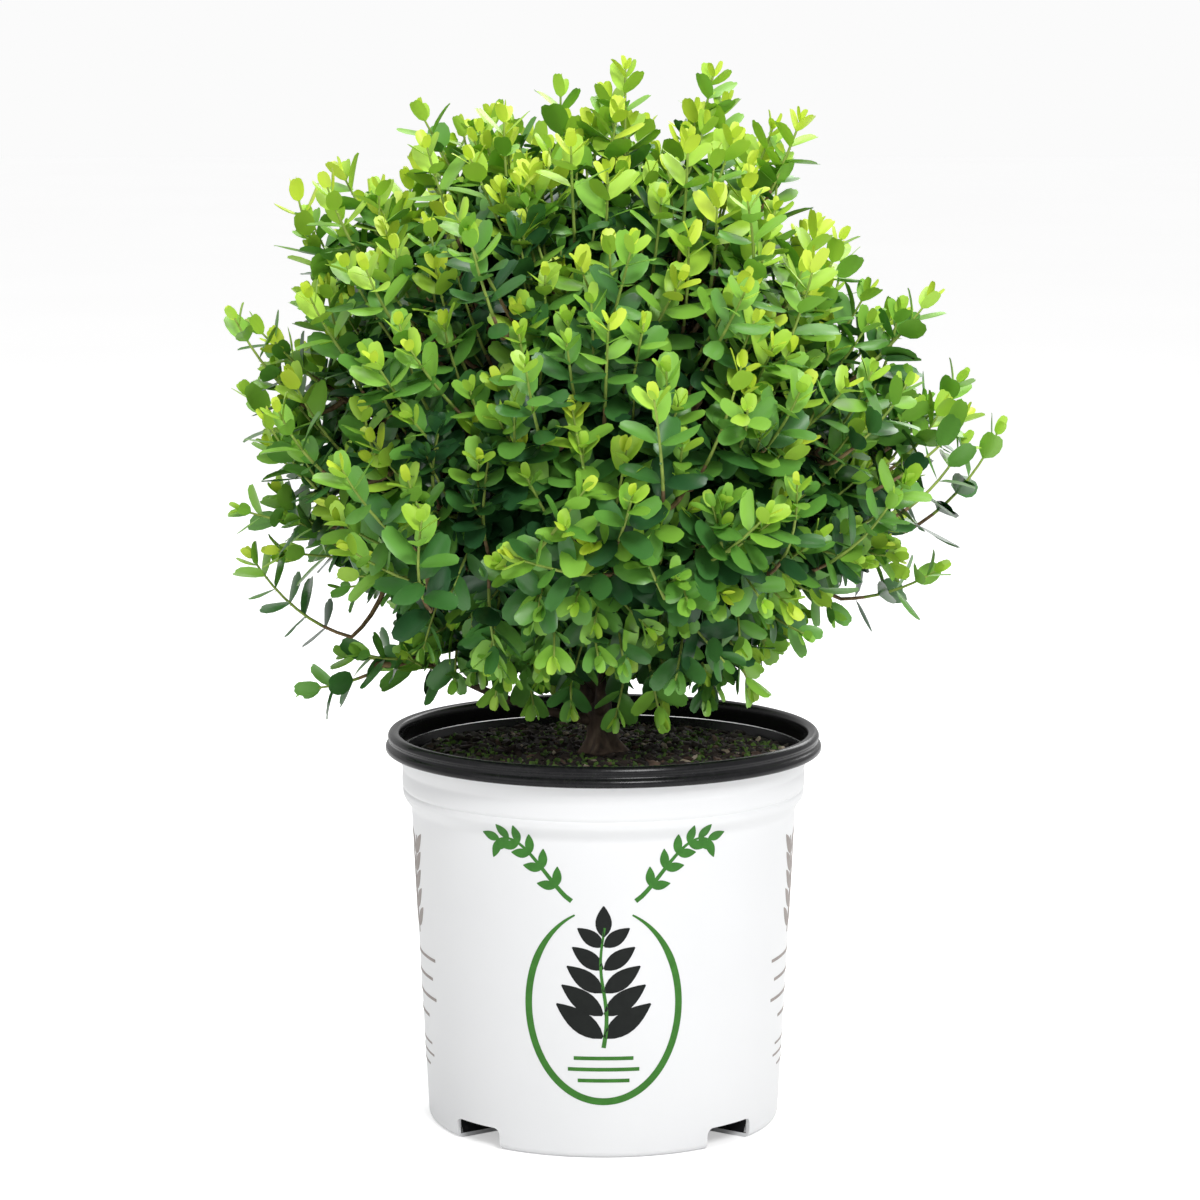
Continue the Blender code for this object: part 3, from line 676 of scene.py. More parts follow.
def build_pot(white, black):
    """The white wall and floor, the black layer inside them, and the black housings of the drains, whose
    black is partly painted shade in the channels.
    """
    foot = [(0.0, 0.0), (0.030, 0.0), (0.060, 0.0)]
    for k in range(ARC_STEPS + 1):
        angle = math.pi / 2 * k / ARC_STEPS
        radius = BASE_RADIUS - BASE_ROUND * (1 - math.sin(angle))
        foot.append((radius, BASE_ROUND * (1 - math.cos(angle))))
    outside = [(wall_radius(height), height) for height in wall_heights(BASE_ROUND)[1:]]
    inside = [(radius - WHITE_LAYER, height) for radius, height in reversed(outside)]
    inside += [(BASE_RADIUS - BASE_ROUND, POT_FLOOR), (0.0, POT_FLOOR)]
    bm = bmesh.new()
    turned(bm, foot + outside + inside, closed=False)
    wall = bm_object("pot_wall", bm, white)
    cut_drains(wall)
    declare(wall, "pot_white", "pot")

    low = DRAIN_HEIGHT + 2 * HOUSING_WALL
    outer = [(wall_radius(height) - WHITE_LAYER - LAYER_GAP, height) for height in wall_heights(low)]
    inner = [(radius - BLACK_LAYER, height) for radius, height in outer[::-1]]
    bm = bmesh.new()
    turned(bm, outer + inner, closed=True)
    lining = bm_object("pot_lining", bm, black, smooth_angle=40)
    declare(lining, "rim_black")

    # Painted shade: the housings are black so the drain channels look dark inside, partly for the pot's black
    # inner layer and partly for the shade in them
    half_angle = DRAIN_HALF_ANGLE + HOUSING_WALL / DRAIN_INNER_RADIUS
    outline = arch_outline(half_angle, POT_FLOOR, DRAIN_HEIGHT + HOUSING_WALL, DRAIN_CORNER)
    joined = bmesh.new()
    for k in range(DRAINS):
        azimuth = DRAIN_FIRST_AZIMUTH + 2 * math.pi * k / DRAINS
        block = arch_block("housing", outline, DRAIN_INNER_RADIUS - HOUSING_WALL, HOUSING_REACH, azimuth)
        joined.from_mesh(block.data)
        bpy.data.objects.remove(block)
    housings = bm_object("drain_housings", joined, black)
    cut_drains(housings)
    declare(housings, "rim_black")


def build_rim(black):
    low = WALL_TOP + GAP
    section = (
        (RIM_INNER_RADIUS, low + 0.0004),
        (RIM_INNER_RADIUS, low),
        (RIM_INNER_RADIUS + 0.0004, low),
        (RIM_LIP_RADIUS - 0.0020, low),
        (RIM_LIP_RADIUS + 0.0002, low + 0.0008),
        (RIM_LIP_RADIUS + 0.0002, low + 0.0036),
        (RIM_GROOVE_RADIUS, low + 0.0052),
        (RIM_GROOVE_RADIUS, low + 0.0066),
        (RIM_ROLL_RADIUS + 0.0001, low + 0.0080),
        (RIM_ROLL_RADIUS - 0.0014, RIM_TOP),
        (RIM_ROLL_RADIUS - 0.0040, RIM_TOP + 0.0001),
        (RIM_INNER_RADIUS, RIM_TOP - 0.0010),
    )
    bm = bmesh.new()
    turned(bm, rounded(list(section)), closed=True)
    rim = bm_object("rolled_rim", bm, black, smooth_angle=50)
    declare(rim, "rim_black", "pot_rim")


def on_wall(across, height, lift):
    """A point on the pot's wall: how far round from the front, how high, and how proud of it."""
    angle = across / wall_radius(height) - math.pi / 2
    radius = wall_radius(height) + lift
    return (radius * math.cos(angle), radius * math.sin(angle), height)


def print_patch(bm, rows):
    """A thin closed layer of ink on the wall, through rows of (across, height) points."""
    layers = []
    for lift in (INK_PROUD, INK_SUNK):
        layers.append([[bm.verts.new(on_wall(a, h, lift)) for a, h in row] for row in rows])
    top, bottom = layers
    last, width = len(rows) - 1, len(rows[0]) - 1
    for i in range(last):
        for j in range(width):
            bm.faces.new((top[i][j], top[i][j + 1], top[i + 1][j + 1], top[i + 1][j]))
            bm.faces.new((bottom[i][j], bottom[i + 1][j], bottom[i + 1][j + 1], bottom[i][j + 1]))
    rim = [(0, j) for j in range(width)] + [(i, width) for i in range(last)]
    rim += [(last, j) for j in range(width, 0, -1)] + [(i, 0) for i in range(last, 0, -1)]
    for (i, j), (k, m) in zip(rim, rim[1:] + rim[:1]):
        bm.faces.new((top[i][j], top[k][m], bottom[k][m], bottom[i][j]))


def print_leaf(bm, foot, angle, length, width):
    """A pointed leaf in ink, as a grid across and along it."""
    rows = []
    for i in range(9):
        t = 0.02 + 0.96 * i / 8
        half = width / 2 * math.sin(math.pi * t**0.85) ** 0.9
        row = []
        for j in range(5):
            side = half * (j / 2 - 1)
            along = length * t
            a = foot[0] + along * math.cos(angle) - side * math.sin(angle)
            h = foot[1] + along * math.sin(angle) + side * math.cos(angle)
            row.append((a, h))
        rows.append(row)
    print_patch(bm, rows)


def print_line(bm, points, widths):
    """A stroke in ink along (across, height) points."""
    rows = []
    for k, (a, h) in enumerate(points):
        before, after = points[max(0, k - 1)], points[min(len(points) - 1, k + 1)]
        step = math.hypot(after[0] - before[0], after[1] - before[1])
        normal = (-(after[1] - before[1]) / step, (after[0] - before[0]) / step)
        aside = [widths[k] / 2 * share for share in normal]
        rows.append([(a - aside[0], h - aside[1]), (a + aside[0], h + aside[1])])
    print_patch(bm, rows)


def print_rules(bm, middle, rules):
    """Short level strokes one under another."""
    top, pitch, stroke, lengths = rules
    for row, length in enumerate(lengths):
        count = max(2, int(length / 0.004))
        height = top - pitch * row
        points = [(middle + length * (k / count - 0.5), height) for k in range(count + 1)]
        print_line(bm, points, [stroke] * (count + 1))


def print_ring(bm):
    """The emblem's oval, open at the top and drawn out thin at its ends."""
    points, widths = [], []
    for k in range(EMBLEM_STEPS + 1):
        angle = EMBLEM_START + EMBLEM_SWEEP * k / EMBLEM_STEPS
        height = EMBLEM_HEIGHT + EMBLEM_HALF_HEIGHT * math.sin(angle)
        points.append((EMBLEM_HALF_WIDTH * math.cos(angle), height))
        from_end = min(k, EMBLEM_STEPS - k) / EMBLEM_STEPS
        widths.append(EMBLEM_STROKE * min(1.0, 0.25 + 6 * from_end))
    print_line(bm, points, widths)


def print_spray(bm, side):
    """A leafy spray that arches out from the top of the oval."""
    spray = []
    for k in range(SPRAY_STEPS + 1):
        t = k / SPRAY_STEPS
        height = SPRAY_FOOT[1] + SPRAY_RISE * math.sin(SPRAY_ARCH * t)
        spray.append((side * (SPRAY_FOOT[0] + SPRAY_SPAN * t**0.8), height))
    print_line(bm, spray, [SPRAY_STROKE * (1 - 0.7 * k / SPRAY_STEPS) for k in range(SPRAY_STEPS + 1)])
    for k in range(3, SPRAY_STEPS, 4):
        turn = math.atan2(spray[k + 1][1] - spray[k][1], spray[k + 1][0] - spray[k][0])
        for lean in (SPRAY_LEAN, -SPRAY_LEAN):
            print_leaf(bm, spray[k], turn + lean, *SPRAY_LEAF)


def print_stalk(bm):
    """The stalk of the sprig inside the oval."""
    steps = range(STALK_STEPS + 1)
    stalk = [(STALK_SWAY * math.sin(k / 3), STALK_FOOT + STALK_LENGTH * k / STALK_STEPS) for k in steps]
    print_line(bm, stalk, [STALK_STROKE * (1 - 0.5 * k / STALK_STEPS) for k in steps])


def print_dark_leaves(bm):
    """The pairs of dark leaves on the stalk, smaller upwards, and the leaf at its top."""
    for pair in range(DARK_PAIRS):
        foot = (0.0, DARK_FIRST + DARK_PITCH * pair)
        length, width = (size - less * pair for size, less in zip(DARK_LEAF, DARK_SHRINK))
        for lean in DARK_LEANS:
            print_leaf(bm, foot, lean, length, width)
    print_leaf(bm, (0.0, 0.1150), math.pi / 2, *DARK_TOP_LEAF)


def print_panel(bm, side):
    """A thin leafy stalk over two groups of rules, round on the pot's side."""
    edge = side * PANEL_ACROSS
    stalk = []
    for k in range(PANEL_STALK_STEPS + 1):
        across = edge + side * (PANEL_STALK_FOOT[0] + PANEL_STALK_SWAY * math.sin(k / 4))
        stalk.append((across, PANEL_STALK_FOOT[1] + PANEL_STALK_LENGTH * k / PANEL_STALK_STEPS))
    print_line(bm, stalk, [PANEL_STALK_STROKE] * len(stalk))
    for k in range(1, PANEL_STALK_STEPS, 3):
        for lean in (PANEL_LEAN, math.pi - PANEL_LEAN):
            print_leaf(bm, stalk[k], lean, *PANEL_LEAF)
    for rules in PANEL_RULES:
        print_rules(bm, edge + side * PANEL_RULES_ACROSS, rules)


def build_print():
    """A generic leafy design: an open oval with a sprig in it, two arching sprays and side panels."""
    green, dark, grey = bmesh.new(), bmesh.new(), bmesh.new()
    print_ring(green)
    for side in (-1, 1):
        print_spray(green, side)
    print_stalk(green)
    print_rules(green, 0.0, EMBLEM_RULES)
    print_dark_leaves(dark)
    for side in (-1, 1):
        print_panel(grey, side)
    inks = (("green", green, INK_GREEN), ("black", dark, INK_BLACK), ("grey", grey, INK_GREY))
    for name, bm, colour in inks:
        declare(bm_object(f"print_{name}", bm, print_ink(f"ink_{name}", colour)), "pot_white")


def soil_height(x, y):
    """The height of the soil's rough top."""
    radius = math.hypot(x, y)
    slope = min(1.0, max(0.0, (radius - SOIL_FLAT_RADIUS) / (SOIL_RADIUS - SOIL_FLAT_RADIUS)))
    rough = noise.fractal(Vector((x, y, 0.3)) * SOIL_GRAIN, 0.9, 2.1, 4) * SOIL_ROUGHNESS
    return SOIL_TOP + (SOIL_EDGE_HEIGHT - SOIL_TOP) * slope + rough * smoothstep(slope * 5) - SOIL_CLEARANCE


def circle_points(radius):
    """(x, y) points of the soil's circle of a radius."""
    turns = (2 * math.pi * k / SOIL_SIDES for k in range(SOIL_SIDES))
    return [(radius * math.cos(turn), radius * math.sin(turn)) for turn in turns]


def build_soil():
    """The filled soil: a rough top, and a side that follows the pot down to above its drains."""
    points = [(0.0, 0.0, soil_height(0, 0)), (0.0, 0.0, SOIL_BOTTOM)]
    for c in range(1, SOIL_CIRCLES + 1):
        points += [(x, y, soil_height(x, y)) for x, y in circle_points(SOIL_RADIUS * c / SOIL_CIRCLES)]
    start = SOIL_EDGE_HEIGHT - SOIL_LIP
    for d in range(1, SOIL_DEPTH_RINGS + 1):
        height = start - (start - SOIL_BOTTOM) * (d / SOIL_DEPTH_RINGS)
        radius = wall_radius(height) - WHITE_LAYER - BLACK_LAYER - SOIL_CLEARANCE
        points += [(x, y, height) for x, y in circle_points(radius)]
    bm = bmesh.new()
    verts = [bm.verts.new(p) for p in points]
    rings = [verts[k : k + SOIL_SIDES] for k in range(2, len(verts), SOIL_SIDES)]
    for k in range(SOIL_SIDES):
        bm.faces.new((verts[0], rings[0][k], rings[0][(k + 1) % SOIL_SIDES]))
    for low, high in zip(rings, rings[1:]):
        for k in range(SOIL_SIDES):
            following = (k + 1) % SOIL_SIDES
            bm.faces.new((low[k], high[k], high[following], low[following]))
    for k in range(SOIL_SIDES):
        bm.faces.new((verts[1], rings[-1][(k + 1) % SOIL_SIDES], rings[-1][k]))
    finish = soil_material("potting_soil", SOIL_STOPS, 0.9)
    declare(bm_object("potting_soil", bm, finish, smooth_angle=60), "potting_soil", "soil")


def ball_template(subdivisions):
    bm = bmesh.new()
    bmesh.ops.create_icosphere(bm, subdivisions=subdivisions, radius=1.0)
    points = np.array([tuple(v.co) for v in bm.verts])
    faces = np.array([[v.index for v in f.verts] for f in bm.faces])
    bm.free()
    return points, faces


def scatter(name, count, sizes, squash, finish, rng, lift, outer=SOIL_RADIUS - 0.004):
    """Many small lumps on the soil, joined into one piece."""
    base, faces = ball_template(1)
    points, corners = [], []
    for index in range(count):
        radius = outer * math.sqrt(rng.uniform(0.02, 1.0))
        angle = rng.uniform(0, 2 * math.pi)
        x, y = radius * math.cos(angle), radius * math.sin(angle)
        size = rng.uniform(*sizes)
        scale = np.array([size, size * rng.uniform(0.35, 0.8), size * rng.uniform(*squash)])
        lump = base * (1 + 0.35 * np.array([rng.uniform(-1, 1) for _ in base])[:, None]) * scale
        spin = Matrix.Rotation(rng.uniform(0, 6.28), 3, "Z") @ Matrix.Rotation(rng.gauss(0, 0.4), 3, "X")
        spin = spin @ Matrix.Rotation(rng.gauss(0, 0.35), 3, "Y")
        lump = lump @ np.array(spin).T + np.array((x, y, soil_height(x, y) + lift * size))
        points.append(lump)
        corners.append(faces + index * len(base))
    piece = to_mesh_object(name, np.concatenate(points), np.concatenate(corners), finish, smooth=False)
    declare(piece, "potting_soil")


def build_litter():
    rng = random.Random(SEED + 5)
    dark = soil_material("dark_bark_chips", DARK_CHIP_STOPS, 0.6)
    brown = soil_material("brown_bark_chips", BROWN_CHIP_STOPS, 0.6)
    pale = soil_material("pale_chips", PALE_CHIP_STOPS, 0.5)
    moss = soil_material("moss", MOSS_STOPS, 0.7)
    scatter("chips_dark", CHIPS, (0.0012, 0.0046), (0.25, 0.5), dark, rng, 0.15)
    scatter("chips_brown", CHIPS // 5, (0.0010, 0.0040), (0.2, 0.45), brown, rng, 0.2)
    scatter("chips_pale", CHIPS // 12, (0.0008, 0.0030), (0.3, 0.6), pale, rng, 0.4)
    scatter("moss", MOSS_TUFTS, (0.0008, 0.0021), (0.5, 1.0), moss, rng, 0.35)


def crown_reach(direction):
    """How far the crown's outline is from its centre, along a direction."""
    d = direction.normalized()
    flat = math.hypot(d.x, d.y)
    sideways = (d.x / flat) ** 2 if flat > 0 else 0.0
    up = d.z > 0
    left = d.x < 0
    side = CROWN_LEFT if left else CROWN_RIGHT
    if up:
        side_power, front_power = POWER_LEFT_UP if left else POWER_RIGHT_UP, POWER_FRONT_UP
    else:
        side_power, front_power = POWER_LEFT_DOWN if left else POWER_RIGHT_DOWN, POWER_FRONT_DOWN
    width = side * sideways + CROWN_FRONT * (1 - sideways)
    power = side_power * sideways + front_power * (1 - sideways)
    height = CROWN_UP if up else CROWN_DOWN
    return ((flat / width) ** power + (abs(d.z) / height) ** power) ** (-1 / power)


def toward(azimuth, elevation):
    flat = math.cos(elevation)
    return Vector((flat * math.cos(azimuth), flat * math.sin(azimuth), math.sin(elevation)))


def curve_points(start, lead, end, steps):
    """Points along the curve that leaves start by way of lead and ends at end."""
    points = []
    for k in range(steps):
        t = k / (steps - 1)
        points.append(start * (1 - t) ** 2 + lead * (2 * t * (1 - t)) + end * t**2)
    return points


class Tubes:
    """Tapering limbs joined into one mesh from arrays."""

    def __init__(self, sides):
        self.sides = sides
        self.points = []
        self.faces = []
        self.count = 0

    def add(self, path, radii, relief=None):
        """A tube closed by its two ends, which are drawn in to a point."""
        points = [Vector(p) for p in path]
        axes = [(b - a).normalized() for a, b in zip(points, points[1:])]
        tangents = [axes[0]] + [(a + b).normalized() for a, b in zip(axes, axes[1:])] + [axes[-1]]
        side = tangents[0].orthogonal().normalized()
        sides = self.sides
        rings = []
        for index, (point, tangent, radius) in enumerate(zip(points, tangents, radii)):
            side = (side - tangent * side.dot(tangent)).normalized()
            across = tangent.cross(side)
            for k in range(sides):
                angle = 2 * math.pi * k / sides
                reach = radius * (relief(index, angle, point) if relief else 1.0)
                rings.append(point + reach * (math.cos(angle) * side + math.sin(angle) * across))
        rings.append(points[0] - tangents[0] * radii[0] * LIMB_FOOT_POINT)
        rings.append(points[-1] + tangents[-1] * radii[-1] * LIMB_TIP_POINT)
        self.points.extend(tuple(p) for p in rings)
        start, last = self.count, self.count + (len(points) - 1) * sides
        foot, tip = self.count + len(points) * sides, self.count + len(points) * sides + 1
        for r in range(len(points) - 1):
            for k in range(sides):
                a, b = start + r * sides + k, start + r * sides + (k + 1) % sides
                self.faces.append((a, b, b + sides))
                self.faces.append((a, b + sides, a + sides))
        for k in range(sides):
            self.faces.append((foot, start + (k + 1) % sides, start + k))
            self.faces.append((tip, last + k, last + (k + 1) % sides))
        self.count += len(rings)

    def build(self, name, finish, slot, *nodes):
        declare(to_mesh_object(name, self.points, self.faces, finish), slot, *nodes)


def smooth_path(points, steps):
    """A Catmull-Rom curve through the points."""
    points = [Vector(p) for p in points]
    ends = [points[0] * 2 - points[1]] + points + [points[-1] * 2 - points[-2]]
    path = []
    for a, b, c, d in zip(ends, ends[1:], ends[2:], ends[3:]):
        bend = 2 * a - 5 * b + 4 * c - d
        swing = 3 * b - a - 3 * c + d
        for k in range(steps):
            t = k / steps
            path.append(0.5 * (2 * b + (c - a) * t + bend * t**2 + swing * t**3))
    return path + [points[-1]]


def trunk_radius(height):
    rise = height - TRUNK_PATH[0][2]
    share = rise / (TRUNK_PATH[-1][2] - TRUNK_PATH[0][2])
    radius = TRUNK_RADIUS + (TRUNK_TIP_RADIUS - TRUNK_RADIUS) * share
    return radius + FLARE_EXTRA * max(0.0, 1 - rise / FLARE_HEIGHT) ** 2


def trunk_middle(height):
    for low, high in zip(TRUNK_PATH, TRUNK_PATH[1:]):
        if height <= high[2]:
            share = (height - low[2]) / (high[2] - low[2])
            return Vector(low).lerp(Vector(high), share)
    return Vector(TRUNK_PATH[-1])


def bark_relief(strength):
    """Ridges along the limb and small knobs, as a factor on its radius."""

    def relief(index, angle, point):
        ridges = noise.noise(Vector((math.cos(angle) * 2.2, math.sin(angle) * 2.2, point.z * 60)))
        knobs = noise.noise(Vector((math.cos(angle) * 4.5, math.sin(angle) * 4.5, point.z * 260)))
        return 1 + strength * (0.6 * ridges + 0.4 * knobs) - 0.25 * strength

    return relief


def build_limbs(masses, bark, node_names):
    """The trunk and boughs with bark relief. Sets each mass's foot."""
    trunk = Tubes(TRUNK_SIDES)
    path = smooth_path(TRUNK_PATH, TRUNK_STEPS)
    lobed = bark_relief(BARK_DEPTH[0])

    def trunk_relief(index, angle, point):
        flare = max(0.0, 1 - (point.z - SOIL_TOP) / (1.6 * FLARE_HEIGHT))
        return lobed(index, angle, point) * (1 + 0.2 * flare * math.cos(5 * angle))

    trunk.add(path, [trunk_radius(p.z) for p in path], trunk_relief)
    trunk.build("trunk_bark", bark, "bark", "trunk")
    boughs = Tubes(BOUGH_SIDES)
    relief = bark_relief(BARK_DEPTH[1])
    fork = Vector((0, 0, FORK_HEIGHT))
    for row, count, _, _ in MASS_ROWS:
        lowest, pitch, rise, radius = ROW_FORKS[row]
        step = 3 if count % 3 else 5
        for k in range(count):
            mass = masses[f"{row}_{k + 1}"]
            tip = mass.heart + (fork - mass.heart).normalized() * (CORE_RADIUS + BOUGH_SHORT_OF_CORE)
            mass.foot = add_bough(boughs, lowest + (k * step) % count * pitch, rise, radius, tip, relief)
    sprig = masses["low_sprig"]
    sprig.foot = add_bough(boughs, SPRIG_FORK_HEIGHT, SPRIG_RISE, SPRIG_BOUGH_RADIUS, SPRIG_BOUGH_TIP, relief)
    masses["top"].foot = Vector(TRUNK_PATH[-1])
    boughs.build("bough_bark", bark, "bark", *[name for name in node_names if name.startswith("bough_")])


def add_bough(boughs, fork_height, rise, radius, tip, relief):
    """One bough from inside the trunk to its tip. Returns the tip, where its mass's stem begins."""
    middle = trunk_middle(fork_height)
    outward = Vector((tip.x - middle.x, tip.y - middle.y, 0)).normalized()
    start = middle + outward * trunk_radius(fork_height) * BOUGH_SINK
    span = math.hypot(tip.x - start.x, tip.y - start.y)
    lead = start + outward * span * (1 - rise) + Vector((0, 0, (tip.z - start.z) * rise))
    path = curve_points(start, lead, tip, BOUGH_STEPS)
    radii = []
    for k in range(BOUGH_STEPS):
        taper = radius + (BOUGH_TIP_RADIUS - radius) * k / (BOUGH_STEPS - 1)
        radii.append(taper + BOUGH_SWELL * max(0, 1 - k / 4))
    boughs.add(path, radii, relief)
    return tip


class Mass:
    """A mass of foliage: its heart, its foot, and the tips of its shoots."""

    def __init__(self, name, heart):
        self.name = name
        self.row = name.split("_")[0]
        self.heart = heart
        self.foot = None
        self.shoots = []


def lay_out_masses():
    masses = {"top": Mass("top", CROWN_CENTRE + Vector((0.004, 0, HEART_SHARE * CROWN_UP)))}
    for row, count, elevation, first in MASS_ROWS:
        for k in range(count):
            direction = toward(first + 2 * math.pi * k / count, elevation)
            heart = CROWN_CENTRE + direction * crown_reach(direction) * HEART_SHARE
            masses[f"{row}_{k + 1}"] = Mass(f"{row}_{k + 1}", heart)
    masses["low_sprig"] = Mass("low_sprig", SPRIG_HEART)
    return masses


def random_tip(rng, sines, reach):
    """A tip anywhere between two elevations, at a share of the way to the crown's outline."""
    direction = toward(rng.uniform(-math.pi, math.pi), math.asin(rng.uniform(*sines)))
    return CROWN_CENTRE + direction * crown_reach(direction) * rng.uniform(*reach)


def spread_tips():
    """(tip, is_inner) pairs: the solids' own tips, finer ones in clumps round them, then inner ones."""
    rng = random.Random(SEED)
    tips = [Vector(tip) for tip in FURTHEST_TIPS]
    taken = np.zeros((SHARED_TIPS + FINER_TIPS, 3))
    for index, tip in enumerate(tips):
        taken[index] = (tip - CROWN_CENTRE).normalized()
    while len(tips) < SHARED_TIPS + FINER_TIPS:
        shared = len(tips) < SHARED_TIPS
        best, best_gap = None, -1.0
        for _ in range(TIP_CANDIDATES if shared else FINER_CANDIDATES):
            sine = rng.uniform(TIP_LOWEST, 1.0)
            direction = toward(rng.uniform(-math.pi, math.pi), math.asin(sine))
            gap = np.square(taken[: len(tips)] - np.array(direction)).sum(axis=1).min()
            if gap > best_gap:
                best, best_gap = direction, gap
        taken[len(tips)] = best
        if shared:
            reach = rng.uniform(*TIP_REACH)
        else:
            aside = math.sqrt(np.square(taken[:SHARED_TIPS] - np.array(best)).sum(axis=1).min())
            reach = rng.uniform(*FINER_REACH) - HOLLOW_DEPTH * max(0.0, aside - HOLLOW_FROM)
        tips.append(CROWN_CENTRE + best * crown_reach(best) * reach)
    found = [(tip, False) for tip in tips]
    for tip in tips[: len(FURTHEST_TIPS)]:
        inward = (CROWN_CENTRE - tip).normalized()
        for _ in range(COMPANIONS):
            aside = Vector([rng.gauss(0, COMPANION_SPREAD) for _ in range(3)])
            beside = tip + inward * rng.uniform(*COMPANION_DEPTH) + aside - inward * aside.dot(inward)
            found.append((beside, False))
    found += [(Vector(tip), False) for tip in HANGING_TIPS]
    found += [(random_tip(rng, UNDERSIDE_SINES, UNDERSIDE_REACH), False) for _ in range(UNDERSIDE_TIPS)]
    found += [(random_tip(rng, INNER_SINES, INNER_REACH), True) for _ in range(INNER_TIPS)]
    return found


def leaf_templates():
    """Unit leaves: a short stalk, a rounded blade folded along its rib, curled in their own ways."""
    rng = random.Random(SEED + 1)
    rows = (-0.07, 0.04, 0.20, 0.44, 0.68, 0.90, 1.0)
    made = []
    for _ in range(LEAF_TEMPLATES):
        fold, curl, cup = rng.uniform(0.16, 0.36), rng.uniform(0.02, 0.16), rng.uniform(-0.5, 0.25)
        twist, bend = rng.uniform(-0.12, 0.12), rng.uniform(-0.05, 0.05)
        points = []
        for t in rows:
            if t < 0.1:
                half = 0.022
            else:
                half = 0.5 * LEAF_WIDTH * max(0.0, 1 - abs((t - 0.55) / 0.50) ** 2.3) ** 0.5
            for column in (-1.0, -0.55, 0.0, 0.55, 1.0):
                y = column * half
                x = t - (0.035 * abs(column) ** 2 if t > 0.9 else 0.0)
                if t == 1.0:
                    x = 0.985 - 0.02 * (1 - abs(column))
                    y = column * 0.5 * LEAF_WIDTH * 0.34
                z = fold * abs(y) + cup * y * y / LEAF_WIDTH * 2 - curl * max(0.0, t) ** 2 + twist * y * t
                points.append((x, y + bend * t * t, z))
        made.append(np.array(points))
    faces = []
    for r in range(len(rows) - 1):
        for c in range(4):
            a = r * 5 + c
            faces.append((a, a + 5, a + 6, a + 1))
    return made, np.array(faces)


